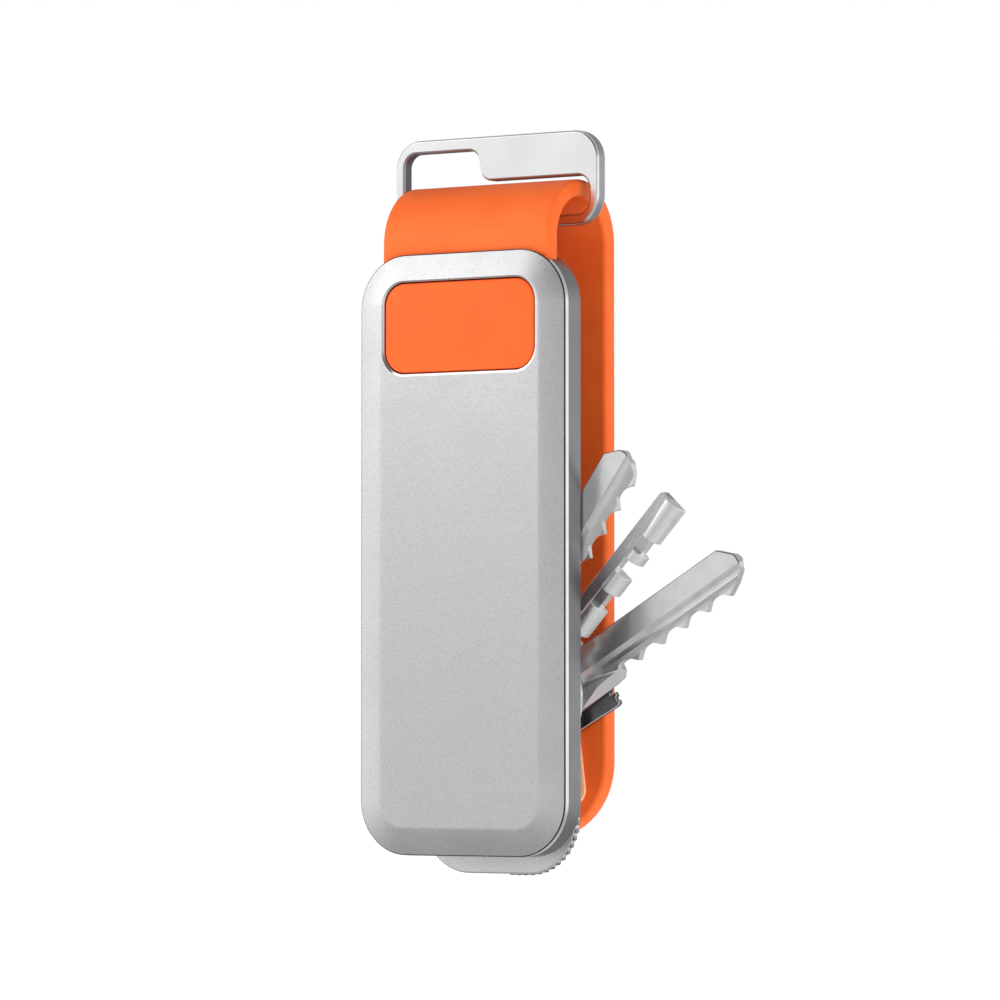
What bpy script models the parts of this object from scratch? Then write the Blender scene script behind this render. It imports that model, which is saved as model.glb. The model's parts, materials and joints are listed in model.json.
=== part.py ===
"""Key organiser: aluminium housing, silicone strap through a hanging loop, keys that fan out of a post.

The organiser's own frame has X across, Y from its front face to its back, and Z up from the housing's
bottom. An empty carries that frame, so that the world's origin is the hanging point under the loop's top bar.
"""
from math import atan2, cos, pi, radians, sin, tan
from typing import NamedTuple

import bmesh
import bpy
from mathutils import Matrix, Vector

MM = 0.001

# Housing
BODY_WIDTH = 36.0 * MM
BODY_HEIGHT = 88.0 * MM
BODY_CORNER = 8.0 * MM
COVER_INSET = 0.3 * MM
COVER_CHAMFER = 4.0 * MM
COVER_CHAMFER_DEPTH = 0.9 * MM
COVER_EDGE = 0.2 * MM
COVER_LIP = 1.2 * MM
COVER_LIP_DEPTH = 0.8 * MM
SEAM = 0.3 * MM
GASKET_INSET = 0.55 * MM
GASKET_WIDTH = 1.3 * MM
FRAME_WALL = 2.0 * MM
FRAME_FLOOR = 0.8 * MM
RIM_BEVEL = 0.45 * MM
RIM_BEVEL_DEPTH = 0.7 * MM

# Fits
GAP = 0.05 * MM
SLIDE_GAP = 0.1 * MM
LOOSE_GAP = 0.2 * MM

# Fasteners
BOSS_RADIUS = 1.9 * MM
COVER_SCREW_RADIUS = 0.7 * MM
COVER_SCREW_HEAD = 1.5 * MM
COVER_SCREW_HEAD_DEPTH = 0.45 * MM
COVER_SCREW_LENGTH = 2.6 * MM
COVER_SCREW_MARGIN = 5.5 * MM
COVER_SCREW_LOW = 7.5 * MM
COVER_SCREW_DROP = 6.6 * MM
RIVET_RADIUS = 0.6 * MM
RIVET_HEAD = 1.0 * MM
RIVET_HEAD_DEPTH = 0.3 * MM
RIVET_SPACING = 8.0 * MM

# Release button and latch
BUTTON_MARGIN = 4.9 * MM
BUTTON_HEIGHT = 13.1 * MM
BUTTON_DROP = 10.85 * MM
BUTTON_CORNER = 3.3 * MM
BUTTON_RECESS = 0.08 * MM
BUTTON_GAP = 0.3 * MM
BUTTON_SKIN = 1.0 * MM
BUTTON_WALL = 1.2 * MM
FLANGE_REACH = 0.8 * MM
FLANGE_DEPTH = 0.4 * MM
GUIDE_DEPTH = 0.2 * MM
TRAVEL = 0.7 * MM
LEG_WIDTH = 0.8 * MM
LEG_HEIGHT = 4.0 * MM
LATCH_BAR_HEIGHT = 2.5 * MM
LATCH_BAR_DEPTH = 0.45 * MM
NOSE_WIDTH = 7.2 * MM
NOSE_HEIGHT = 1.4 * MM
SPRING_THICKNESS = 0.12 * MM
SPRING_LENGTH = 16.0 * MM
SPRING_HEIGHT = 1.9 * MM

# Strap
STRAP_MARGIN = 3.3 * MM
STRAP_THICKNESS = 2.6 * MM
STRAP_CLEARANCE = 0.2 * MM
STRAP_RISE = 1.65 * MM
STRAP_BOTTOM = 2.4 * MM
STRAP_CORNER = 11.3 * MM
STRAP_STEP_DROP = 2.0 * MM
STRAP_STEP_SLANT = 0.7 * MM
STRAP_END_THICKNESS = 0.9 * MM
STRAP_END_RISE = 1.05 * MM
TONGUE_THICKNESS = 0.4 * MM
TONGUE_REACH = 5.15 * MM
TONGUE_CORNER = 2.0 * MM

# Hanging loop
LOOP_THICKNESS = 2.5 * MM
LOOP_SIDE_GAP = 1.4 * MM
LOOP_SIDE_BAR = 1.6 * MM
LOOP_BOTTOM_BAR = 1.6 * MM
LOOP_TOP_BAR = 1.95 * MM
LOOP_THICK_BAR = 6.6 * MM
LOOP_HEIGHT = 13.85 * MM
LOOP_CROWN_GAP = 0.55 * MM
LOOP_CORNER = 4.3 * MM
LOOP_INNER_CORNER = 2.0 * MM
LOOP_STEP_TOP = -3.6 * MM
LOOP_STEP_RUN = 1.85 * MM
LOOP_STEP_CORNER = 1.6 * MM
LOOP_EDGE = 0.3 * MM

# Post
PIVOT_HEIGHT = 18.5 * MM
POST_RADIUS = 2.5 * MM
POST_FLANGE_RIM = 2.5 * MM
POST_FLANGE_DEPTH = 0.8 * MM
POST_BORE_RUNOUT = 2.0 * MM
SCREW_RADIUS = 1.5 * MM
SCREW_HEAD = 4.6 * MM
SCREW_HEAD_DEPTH = 1.1 * MM
SCREW_LENGTH = 9.4 * MM
SCREW_SLOT = 1.1 * MM
SCREW_SLOT_DEPTH = 0.55 * MM
CUP_RIM = 1.4 * MM
CUP_THICKNESS = 0.6 * MM
CUP_RECESS = 0.8 * MM
WASHER_RIM = 2.15 * MM
WASHER_THICKNESS = 0.2 * MM


class PinKey(NamedTuple):
    """A pin-tumbler key's sizes: blade along its own Z, cut side towards its own X, bow about its hole."""

    back_edge: float
    groove_edge: float
    crest: float
    first_tooth: float
    pitch: float
    cut_depth: float
    bow_radius: float
    bow_centre: float


# Keys
FIRST_KEY = PinKey(
    back_edge=-5.4 * MM,
    groove_edge=-2.2 * MM,
    crest=1.5 * MM,
    first_tooth=44.4 * MM,
    pitch=4.1 * MM,
    cut_depth=1.0 * MM,
    bow_radius=11.0 * MM,
    bow_centre=5.0 * MM,
)
LONG_KEY = PinKey(
    back_edge=-4.0 * MM,
    groove_edge=0.2 * MM,
    crest=3.55 * MM,
    first_tooth=44.2 * MM,
    pitch=4.5 * MM,
    cut_depth=1.2 * MM,
    bow_radius=10.0 * MM,
    bow_centre=2.5 * MM,
)
KEY_CUTS = 6
KEY_LENGTH = 47.0 * MM
KEY_THICKNESS = 1.8 * MM
LONG_KEY_THICKNESS = 1.9 * MM
KEY_TIP_BACK_RUN = 2.3 * MM
KEY_TIP_BACK_DROP = 2.4 * MM
KEY_TIP_CUT_RUN = 3.5 * MM
KEY_TIP_SHOULDER_RUN = 1.1 * MM
KEY_TIP_SHOULDER_DROP = 1.7 * MM
ROUND_KEY_THICKNESS = 2.45 * MM
ROUND_KEY_LENGTH = 46.0 * MM
ROUND_KEY_NECK = 20.0 * MM
ROUND_KEY_BACK = -1.4 * MM
ROUND_KEY_SPINE = 0.2 * MM
ROUND_KEY_EDGE = 3.9 * MM
ROUND_KEY_BOW = 11.0 * MM
ROUND_KEY_BOW_CENTRE = 6.0 * MM
ROUND_KEY_SEGMENTS = (
    (21.2 * MM, 26.4 * MM),
    (29.2 * MM, 32.5 * MM),
    (35.1 * MM, 36.8 * MM),
    (39.4 * MM, ROUND_KEY_LENGTH),
)
ROUND_KEY_CORES = ((ROUND_KEY_NECK, 21.2 * MM), (26.4 * MM, 29.2 * MM), (36.8 * MM, 39.4 * MM))
ROUND_KEY_CORE_STEP = 1.0 * MM
SPINE_THICKNESS = 1.55 * MM
CORE_THICKNESS = 1.1 * MM
THIN_KEY_THICKNESS = 1.0 * MM
THIN_KEY_LENGTH = 21.2 * MM
THIN_KEY_BACK = -2.5 * MM
THIN_KEY_EDGE = 2.35 * MM
THIN_KEY_SCOOP = 5.3 * MM
THIN_KEY_SCOOP_DEPTH = 0.8 * MM
THIN_KEY_NECK = 11.8 * MM
THIN_KEY_NECK_EDGE = 3.2 * MM
THIN_KEY_CORNER = 1.2 * MM
THIN_KEY_BOW = 9.0 * MM
THIN_KEY_BOW_CENTRE = 1.5 * MM
FLAT_KEY_THICKNESS = 0.9 * MM
FLAT_KEY_LENGTH = 17.6 * MM
FLAT_KEY_EDGE = 5.6 * MM
FLAT_KEY_BOW = 9.6 * MM
FINE_CUT = 0.45 * MM
FINE_CUT_COUNT = 8
KEY_ANGLES = {"key_1": 35.3, "key_2": 43.0, "key_3": 59.6, "key_4": 63.0, "key_5": 61.0}

# Folding tool
TOOL_THICKNESS = 1.25 * MM
TOOL_MARGIN = 4.4 * MM
TOOL_OVERHANG = 2.7 * MM
TOOL_CORNER = 7.3 * MM
TOOL_SHOULDER = 8.0 * MM
TOOL_SHOULDER_RISE = 6.0 * MM
TOOL_BLADE = 4.5 * MM
TOOL_BLADE_FILLET = 2.0 * MM
TOOL_TIP = 41.0 * MM
TOOL_TIP_WIDTH = 4.5 * MM
TOOL_TIP_TAPER = 6.0 * MM
TOOL_TIP_CORNER = 1.0 * MM
HOOK_LOW = 19.0 * MM
HOOK_HEIGHT = 5.5 * MM
HOOK_DEPTH = 3.0 * MM
KNURL_PITCH = 1.15 * MM
KNURL_DEPTH = 0.28 * MM
KNURL_FLAT = 3.0 * MM

# Wear pad
PAD_THICKNESS = 0.5 * MM
PAD_TOP = 6.5 * MM
PAD_FOOT = -11.1 * MM
PAD_TOP_WIDTH = 18.4 * MM
PAD_FOOT_WIDTH = 22.7 * MM
PAD_TOP_CORNER = 6.0 * MM
PAD_FOOT_CORNER = 2.2 * MM

ROUND = 32
CORNER_STEPS = 6
BEND_STEPS = 16
BOW_STEPS = 24
HALF_ROUND_STEPS = 10

PARTS = bpy.data.collections.new("key_organiser")
CUTTERS = bpy.data.collections.new("cutters")

# Places along Y, worked out from the sizes above
COVER_REAR = COVER_CHAMFER_DEPTH + COVER_EDGE
RIM_FRONT = COVER_REAR + SEAM
STRAP_FRONT = RIM_FRONT + STRAP_CLEARANCE
FLOOR_FRONT = STRAP_FRONT + STRAP_THICKNESS + STRAP_CLEARANCE
FRAME_REAR = FLOOR_FRONT + FRAME_FLOOR
STACK = (
    ("key_washer_1", WASHER_THICKNESS),
    ("key_1", KEY_THICKNESS),
    ("key_washer_2", WASHER_THICKNESS),
    ("key_2", ROUND_KEY_THICKNESS),
    ("key_washer_3", WASHER_THICKNESS),
    ("multi_tool", TOOL_THICKNESS),
    ("key_washer_4", WASHER_THICKNESS),
    ("key_3", LONG_KEY_THICKNESS),
    ("key_washer_5", WASHER_THICKNESS),
    ("key_4", THIN_KEY_THICKNESS),
    ("key_washer_6", WASHER_THICKNESS),
    ("key_5", FLAT_KEY_THICKNESS),
    ("strap_pad", PAD_THICKNESS),
)
STRAP_INNER = FRAME_REAR + sum(thickness + GAP for _, thickness in STACK) + GAP
STRAP_REAR = STRAP_INNER + STRAP_THICKNESS
BEND_RADIUS = (STRAP_REAR - STRAP_FRONT) / 2
BEND_Y = (STRAP_REAR + STRAP_FRONT) / 2
BEND_Z = BODY_HEIGHT + STRAP_RISE
FLANGE_FRONT = COVER_REAR + GUIDE_DEPTH + 2 * GAP
FLANGE_REAR = FLANGE_FRONT + FLANGE_DEPTH
TONGUE_FRONT = FLANGE_REAR + TRAVEL + GAP
TONGUE_REAR = TONGUE_FRONT + TONGUE_THICKNESS
LATCH_BAR_FRONT = TONGUE_REAR + SLIDE_GAP
LATCH_BAR_REAR = LATCH_BAR_FRONT + LATCH_BAR_DEPTH
CUP_FRONT = STRAP_REAR - CUP_RECESS + GAP
HEAD_FRONT = CUP_FRONT + CUP_THICKNESS + GAP

# Radii worked out from the sizes above
HOLE_RADIUS = POST_RADIUS + SLIDE_GAP
POST_FLANGE = POST_RADIUS + POST_FLANGE_RIM
POST_BORE = SCREW_RADIUS + SLIDE_GAP
WASHER_RADIUS = HOLE_RADIUS + WASHER_RIM
CUP_RADIUS = SCREW_HEAD + CUP_RIM

# Widths and heights worked out from the sizes above
STRAP_WIDTH = BODY_WIDTH - 2 * STRAP_MARGIN
BUTTON_WIDTH = BODY_WIDTH - 2 * BUTTON_MARGIN
BUTTON_Z = BODY_HEIGHT - BUTTON_DROP
TONGUE_WIDTH = BUTTON_WIDTH - 4 * LEG_WIDTH
STRAP_STEP = BODY_HEIGHT - STRAP_STEP_DROP
STRAP_END = BUTTON_Z + LEG_HEIGHT / 2 + STRAP_END_RISE
TONGUE_TOP = STRAP_STEP - STRAP_STEP_SLANT - SLIDE_GAP
TONGUE_LOW = BUTTON_Z - TONGUE_REACH
RIVET_Z = STRAP_END + RIVET_HEAD + SLIDE_GAP
LOOP_WIDTH = STRAP_WIDTH + 2 * LOOP_SIDE_GAP + 2 * LOOP_SIDE_BAR
LOOP_TOP = BEND_Z + BEND_RADIUS + LOOP_CROWN_GAP + LOOP_THICK_BAR
LOOP_BOTTOM = LOOP_TOP - LOOP_HEIGHT
LOOP_LEFT = -LOOP_WIDTH / 2 + LOOP_SIDE_BAR
HANG_X = (LOOP_LEFT + LOOP_STEP_TOP) / 2
HANG_Z = LOOP_TOP - LOOP_TOP_BAR


# Outlines: closed lists of (x, z) points

def rounded(corners, steps=CORNER_STEPS):
    """An outline through (x, z, radius) corners, each one an arc of its radius."""
    outline = []
    for index, (x, z, radius) in enumerate(corners):
        here = Vector((x, z))
        if radius == 0:
            outline.append((x, z))
            continue
        to_last = (Vector(corners[index - 1][:2]) - here).normalized()
        to_next = (Vector(corners[(index + 1) % len(corners)][:2]) - here).normalized()
        half = to_last.angle(to_next) / 2
        centre = here + (to_last + to_next).normalized() * radius / sin(half)
        start = here + to_last * radius / tan(half) - centre
        end = here + to_next * radius / tan(half) - centre
        turn = atan2(start.x * end.y - start.y * end.x, start.dot(end))
        for step in range(steps + 1):
            outline.append(tuple(centre + Matrix.Rotation(turn * step / steps, 2) @ start))
    return outline


def rounded_rectangle(width, height, radius, centre_z, steps=CORNER_STEPS):
    """A rectangle about X = 0 with round corners."""
    low = centre_z - height / 2
    high = centre_z + height / 2
    side = width / 2
    corners = [(-side, low, radius), (side, low, radius), (side, high, radius), (-side, high, radius)]
    return rounded(corners, steps)


def body_outline(inset):
    """The housing's outline, moved inwards by inset."""
    radius = BODY_CORNER - inset
    return rounded_rectangle(BODY_WIDTH - 2 * inset, BODY_HEIGHT - 2 * inset, radius, BODY_HEIGHT / 2)


def button_outline(reach):
    """The button's outline, moved outwards by reach."""
    width = BUTTON_WIDTH + 2 * reach
    return rounded_rectangle(width, BUTTON_HEIGHT + 2 * reach, BUTTON_CORNER + reach, BUTTON_Z)


def circle(radius, x=0.0, z=0.0):
    """A round outline."""
    turns = [2 * pi * index / ROUND for index in range(ROUND)]
    return [(x + radius * cos(turn), z + radius * sin(turn)) for turn in turns]


# Solids

def link(piece, group):
    """Put a new object in its collection; a cutter shows as wire and isn't rendered."""
    group.objects.link(piece)
    if group is CUTTERS:
        piece.hide_render = True
        piece.display_type = "WIRE"
    return piece


def made_mesh(name, guide, group):
    """The guide's evaluated shape as a welded mesh object, in place of the guide."""
    bpy.context.view_layer.update()
    mesh = bpy.data.meshes.new_from_object(guide.evaluated_get(bpy.context.evaluated_depsgraph_get()))
    shape = bmesh.new()
    shape.from_mesh(mesh)
    bmesh.ops.remove_doubles(shape, verts=shape.verts, dist=0.001 * MM)
    bmesh.ops.transform(shape, matrix=guide.matrix_world, verts=shape.verts)
    bmesh.ops.recalc_face_normals(shape, faces=shape.faces)
    shape.to_mesh(mesh)
    shape.free()
    bpy.data.objects.remove(guide)
    mesh.name = name
    return link(bpy.data.objects.new(name, mesh), group)


def slab(name, outlines, front, back, group=PARTS):
    """A flat piece between two places along Y; an outline inside another is a hole."""
    curve = bpy.data.curves.new(name, "CURVE")
    curve.dimensions = "2D"
    curve.fill_mode = "BOTH"
    curve.extrude = (back - front) / 2
    for outline in outlines:
        spline = curve.splines.new("POLY")
        spline.points.add(len(outline) - 1)
        for point, (x, z) in zip(spline.points, outline):
            point.co = (x, z, 0, 1)
        spline.use_cyclic_u = True
    guide = link(bpy.data.objects.new(name + "_guide", curve), CUTTERS)
    guide.rotation_euler.x = pi / 2
    guide.location.y = (front + back) / 2
    return made_mesh(name, guide, group)


def turned(name, profile, bored=False):
    """A round piece about the Y axis, from (radius, y) points that run from its back to its front."""
    mesh = bpy.data.meshes.new(name)
    edges = [(i, i + 1) for i in range(len(profile) - 1)]
    if bored:
        edges.append((len(profile) - 1, 0))
    mesh.from_pydata([(radius, 0, y) for radius, y in profile], edges, [])
    guide = link(bpy.data.objects.new(name + "_guide", mesh), CUTTERS)
    screw = guide.modifiers.new("turn", "SCREW")
    screw.steps = ROUND
    screw.render_steps = ROUND
    screw.use_merge_vertices = True
    screw.merge_threshold = 0.01 * MM
    guide.rotation_euler.x = -pi / 2
    return made_mesh(name, guide, PARTS)


def washer(name, radius, front, back, bore):
    """A flat ring about the Y axis."""
    return turned(name, [(bore, back), (radius, back), (radius, front), (bore, front)], bored=True)


def cylinder(name, radius, front, back, x=0.0, z=0.0, group=CUTTERS):
    """A plain cylinder along Y."""
    shape = bmesh.new()
    place = Matrix.Translation((x, (front + back) / 2, z)) @ Matrix.Rotation(pi / 2, 4, "X")
    bmesh.ops.create_cone(
        shape, cap_ends=True, segments=ROUND, radius1=radius, radius2=radius, depth=back - front, matrix=place
    )
    return from_bmesh(name, shape, group)


def box(name, low, high, group=CUTTERS):
    """A box between two corners."""
    shape = bmesh.new()
    size = Vector(high) - Vector(low)
    place = Matrix.Translation((Vector(low) + Vector(high)) / 2) @ Matrix.Diagonal((*size, 1))
    bmesh.ops.create_cube(shape, size=1, matrix=place)
    return from_bmesh(name, shape, group)


def from_bmesh(name, shape, group):
    """An object made of the shape."""
    mesh = bpy.data.meshes.new(name)
    shape.to_mesh(mesh)
    shape.free()
    return link(bpy.data.objects.new(name, mesh), group)


def combine(piece, other, operation):
    """A Boolean on the piece; the other solid follows it, in the same frame."""
    other.parent = piece
    boolean = piece.modifiers.new(other.name, "BOOLEAN")
    boolean.operation = operation
    boolean.solver = "EXACT"
    boolean.object = other


def cut(piece, cutter):
    """Take the cutter away from the piece."""
    combine(piece, cutter, "DIFFERENCE")


def join(piece, other):
    """Make the piece and the other solid one body."""
    combine(piece, other, "UNION")


def chamfer_front(piece, width, depth):
    """Step the front face in by width and forward by depth, which leaves a chamfer round it."""
    shape = bmesh.new()
    shape.from_mesh(piece.data)
    front = [face for face in shape.faces if face.normal.y < -0.99]
    whole = bmesh.ops.dissolve_faces(shape, faces=front)["region"]
    bmesh.ops.inset_region(shape, faces=whole, thickness=width, depth=depth, use_even_offset=True)
    shape.to_mesh(piece.data)
    shape.free()


def round_edges(piece, width, segments=1):
    """Rounded edges, made before any other modifier."""
    bevel = piece.modifiers.new("edges", "BEVEL")
    bevel.width = width
    bevel.segments = segments
    bevel.limit_method = "ANGLE"
    bevel.angle_limit = radians(50)


def finish(piece, colour, roughness, metallic):
    """The piece's own material, and smooth shading on its round stretches."""
    material = bpy.data.materials.new(piece.name)
    material.use_nodes = True
    surface = material.node_tree.nodes["Principled BSDF"]
    surface.inputs["Base Color"].default_value = (*colour, 1)
    surface.inputs["Roughness"].default_value = roughness
    surface.inputs["Metallic"].default_value = metallic
    piece.data.materials.clear()
    piece.data.materials.append(material)
    piece.data.shade_smooth()
    piece.data.set_sharp_from_angle(angle=radians(30))
    return piece


def blasted_aluminium(piece):
    """Pale bead-blasted aluminium."""
    return finish(piece, (0.62, 0.62, 0.63), 0.42, 1)


def satin_aluminium(piece):
    """Darker satin aluminium."""
    return finish(piece, (0.33, 0.34, 0.35), 0.38, 1)


def orange_silicone(piece):
    """Matt orange silicone."""
    return finish(piece, (0.93, 0.19, 0.04), 0.55, 0)


def peach_nylon(piece):
    """Pale orange nylon."""
    return finish(piece, (0.9, 0.42, 0.2), 0.5, 0)


def black_nylon(piece):
    """Black nylon or rubber."""
    return finish(piece, (0.02, 0.02, 0.02), 0.6, 0)


def key_steel(piece):
    """Nickel-plated key."""
    return finish(piece, (0.6, 0.6, 0.6), 0.3, 1)


def tool_steel(piece):
    """Stainless steel."""
    return finish(piece, (0.5, 0.5, 0.51), 0.35, 1)


# Housing

def make_cover():
    """Front plate: wide chamfer, lip that seats in the frame, screw bosses, window for the button."""
    cover = slab("front_cover", [body_outline(COVER_INSET)], COVER_CHAMFER_DEPTH, COVER_REAR)
    chamfer_front(cover, COVER_CHAMFER, COVER_CHAMFER_DEPTH)
    lip_inset = FRAME_WALL + LOOSE_GAP
    lip = slab(
        "cover_lip",
        [body_outline(lip_inset), body_outline(lip_inset + COVER_LIP)],
        COVER_REAR - COVER_EDGE / 2,
        COVER_REAR + COVER_LIP_DEPTH,
        CUTTERS,
    )
    cut(lip, box("lip_opening", (-BODY_WIDTH, 0, BUTTON_Z), (BODY_WIDTH, FRAME_REAR, BODY_HEIGHT)))
    join(cover, lip)
    for index, (x, z) in enumerate(cover_screw_places(), 1):
        boss = cylinder(f"cover_boss_{index}", BOSS_RADIUS, COVER_REAR / 2, FLOOR_FRONT - GAP, x, z)
        join(cover, boss)
        bore_front = FRAME_REAR - COVER_SCREW_LENGTH - LOOSE_GAP
        cut(cover, cylinder(f"boss_bore_{index}", COVER_SCREW_RADIUS + GAP, bore_front, FRAME_REAR, x, z))
    cut(cover, slab("button_window", [button_outline(BUTTON_GAP)], -SEAM, COVER_REAR + SEAM, CUTTERS))
    return blasted_aluminium(cover)


def cover_screw_places():
    """The four screws' X and Z."""
    side = BODY_WIDTH / 2 - COVER_SCREW_MARGIN
    high = BUTTON_Z - BUTTON_HEIGHT / 2 - COVER_SCREW_DROP
    return [(x, z) for z in (COVER_SCREW_LOW, high) for x in (-side, side)]


def make_gasket():
    """Rubber line in the seam between the cover and the frame."""
    outlines = [body_outline(GASKET_INSET), body_outline(GASKET_INSET + GASKET_WIDTH)]
    return black_nylon(slab("cover_gasket", outlines, COVER_REAR + GAP, RIM_FRONT - GAP))


def make_frame():
    """Tray with a bevelled rim, open at the top for the strap, drilled for the post and the screws."""
    frame = slab("housing_frame", [body_outline(0)], RIM_FRONT + RIM_BEVEL_DEPTH, FRAME_REAR)
    chamfer_front(frame, RIM_BEVEL, RIM_BEVEL_DEPTH)
    cut(frame, slab("tray", [body_outline(FRAME_WALL)], 0, FLOOR_FRONT, CUTTERS))
    side = STRAP_WIDTH / 2 + STRAP_CLEARANCE
    low = BODY_HEIGHT - BODY_CORNER
    cut(frame, box("strap_slot", (-side, 0, low), (side, FLOOR_FRONT, BODY_HEIGHT + BODY_CORNER)))
    cut(frame, cylinder("post_hole", HOLE_RADIUS, RIM_FRONT, FRAME_REAR + SEAM, 0, PIVOT_HEIGHT))
    for index, (x, z) in enumerate(cover_screw_places(), 1):
        hole = COVER_SCREW_RADIUS + SLIDE_GAP
        head = COVER_SCREW_HEAD + SLIDE_GAP
        head_front = FRAME_REAR - COVER_SCREW_HEAD_DEPTH - GAP
        cut(frame, cylinder(f"screw_hole_{index}", hole, RIM_FRONT, FRAME_REAR + SEAM, x, z))
        cut(frame, cylinder(f"screw_seat_{index}", head, head_front, FRAME_REAR + SEAM, x, z))
    return satin_aluminium(frame)


def make_cover_screws():
    """Flat-headed screws from the frame's back into the cover's bosses."""
    head_front = FRAME_REAR - COVER_SCREW_HEAD_DEPTH
    profile = [
        (0, FRAME_REAR - GAP),
        (COVER_SCREW_HEAD, FRAME_REAR - GAP),
        (COVER_SCREW_HEAD, head_front),
        (COVER_SCREW_RADIUS, head_front),
        (COVER_SCREW_RADIUS, FRAME_REAR - COVER_SCREW_LENGTH),
        (0, FRAME_REAR - COVER_SCREW_LENGTH),
    ]
    screws = []
    for index, (x, z) in enumerate(cover_screw_places(), 1):
        screw = tool_steel(turned(f"cover_screw_{index}", profile))
        screw.location = (x, 0, z)
        screws.append(screw)
    return screws


# Release button and latch

def make_button():
    """Orange push pad with a flange behind the cover, hollow at the back."""
    button = slab("release_button", [button_outline(0)], BUTTON_RECESS, FLANGE_REAR - FLANGE_DEPTH / 2)
    flange = slab("button_flange", [button_outline(FLANGE_REACH)], FLANGE_FRONT, FLANGE_REAR, CUTTERS)
    join(button, flange)
    hollow = slab("button_hollow", [button_outline(-BUTTON_WALL)], BUTTON_SKIN, FLANGE_REAR + SEAM, CUTTERS)
    cut(button, hollow)
    return orange_silicone(button)


def make_button_guide():
    """Black frame behind the cover that the button slides in."""
    front = COVER_REAR + GAP
    outlines = [button_outline(FLANGE_REACH), button_outline(SLIDE_GAP)]
    return black_nylon(slab("button_guide", outlines, front, front + GUIDE_DEPTH))


def make_latch_carrier():
    """Steel bar behind the tongue, with legs to the button and a nose that stands in the tongue's window."""
    side = BUTTON_WIDTH / 2
    half_bar = LATCH_BAR_HEIGHT / 2
    carrier = box(
        "latch_carrier",
        (-side, LATCH_BAR_FRONT, BUTTON_Z - half_bar),
        (side, LATCH_BAR_REAR, BUTTON_Z + half_bar),
        PARTS,
    )
    inside = LATCH_BAR_FRONT + LATCH_BAR_DEPTH / 2
    for label, left in (("left", -side), ("right", side - LEG_WIDTH)):
        low = (left, FLANGE_REAR + GAP, BUTTON_Z - LEG_HEIGHT / 2)
        high = (left + LEG_WIDTH, LATCH_BAR_REAR, BUTTON_Z + LEG_HEIGHT / 2)
        join(carrier, box(f"latch_leg_{label}", low, high))
    nose_low = (-NOSE_WIDTH / 2, TONGUE_FRONT - SLIDE_GAP, BUTTON_Z - NOSE_HEIGHT / 2)
    join(carrier, box("latch_nose", nose_low, (NOSE_WIDTH / 2, inside, BUTTON_Z + NOSE_HEIGHT / 2)))
    return tool_steel(carrier)


def make_latch_spring():
    """Bowed leaf between the latch and the frame's floor; its outline lies in X and Y."""
    crown = LATCH_BAR_REAR + GAP
    rise = FLOOR_FRONT - GAP - SPRING_THICKNESS - crown
    half = SPRING_LENGTH / 2
    places = [half * (step / CORNER_STEPS - 1) for step in range(2 * CORNER_STEPS + 1)]
    near = [(x, crown + rise * (x / half) ** 2) for x in places]
    far = [(x, y + SPRING_THICKNESS) for x, y in reversed(near)]
    spring = slab("latch_spring", [near + far], -SPRING_HEIGHT / 2, SPRING_HEIGHT / 2)
    spring.rotation_euler.x = -pi / 2
    spring.location.z = BUTTON_Z
    return tool_steel(spring)


# Strap

def strap_profile():
    """The strap's edge outline in Y and Z, from its end in the housing over the bend and down the back."""
    end_front = TONGUE_REAR + SLIDE_GAP
    end_back = end_front + STRAP_END_THICKNESS
    inner_radius = BEND_RADIUS - STRAP_THICKNESS
    turns = [pi * index / BEND_STEPS for index in range(BEND_STEPS + 1)]
    outer = [(BEND_Y - BEND_RADIUS * cos(turn), BEND_Z + BEND_RADIUS * sin(turn)) for turn in turns]
    inner = [(BEND_Y + inner_radius * cos(turn), BEND_Z + inner_radius * sin(turn)) for turn in turns]
    tail = [(STRAP_REAR, STRAP_BOTTOM), (STRAP_INNER, STRAP_BOTTOM)]
    inside = [
        (STRAP_FRONT + STRAP_THICKNESS, STRAP_STEP + STRAP_STEP_SLANT),
        (end_back, STRAP_STEP),
        (end_back, STRAP_END),
        (end_front, STRAP_END),
        (end_front, STRAP_STEP - STRAP_STEP_SLANT),
        (STRAP_FRONT, STRAP_STEP),
    ]
    return outer + tail + inner + inside


def make_strap():
    """Silicone strap: bent blank, trimmed to its round end, drilled for the post and the rivets."""
    half = STRAP_WIDTH / 2
    blank = slab("strap_blank", [strap_profile()], -half, half, CUTTERS)
    blank.rotation_euler.z = pi / 2
    strap = made_mesh("strap", blank, PARTS)
    round_strap_end(strap)
    cut(strap, cylinder("strap_hole", HOLE_RADIUS, BEND_Y, STRAP_REAR + SEAM, 0, PIVOT_HEIGHT))
    cup = CUP_RADIUS + LOOSE_GAP
    cut(strap, cylinder("cup_recess", cup, STRAP_REAR - CUP_RECESS, STRAP_REAR + SEAM, 0, PIVOT_HEIGHT))
    for index, x in enumerate(rivet_places(), 1):
        cut(strap, cylinder(f"strap_rivet_hole_{index}", RIVET_RADIUS + GAP, 0, FRAME_REAR, x, RIVET_Z))
    return orange_silicone(strap)


def round_strap_end(strap):
    """Bevel the two corners at the foot of the strap's back leg."""
    shape = bmesh.new()
    shape.from_mesh(strap.data)
    for side in (-1, 1):
        flat = [face for face in shape.faces if face.normal.x * side > 0.99]
        bmesh.ops.dissolve_faces(shape, faces=flat)
    foot = [edge for edge in shape.edges if max(vert.co.z for vert in edge.verts) < STRAP_BOTTOM + GAP]
    corners = [edge for edge in foot if abs(edge.verts[0].co.x - edge.verts[1].co.x) < GAP]
    bmesh.ops.bevel(
        shape, geom=corners, offset=STRAP_CORNER, segments=2 * CORNER_STEPS, profile=0.5, affect="EDGES"
    )
    shape.to_mesh(strap.data)
    shape.free()


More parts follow.
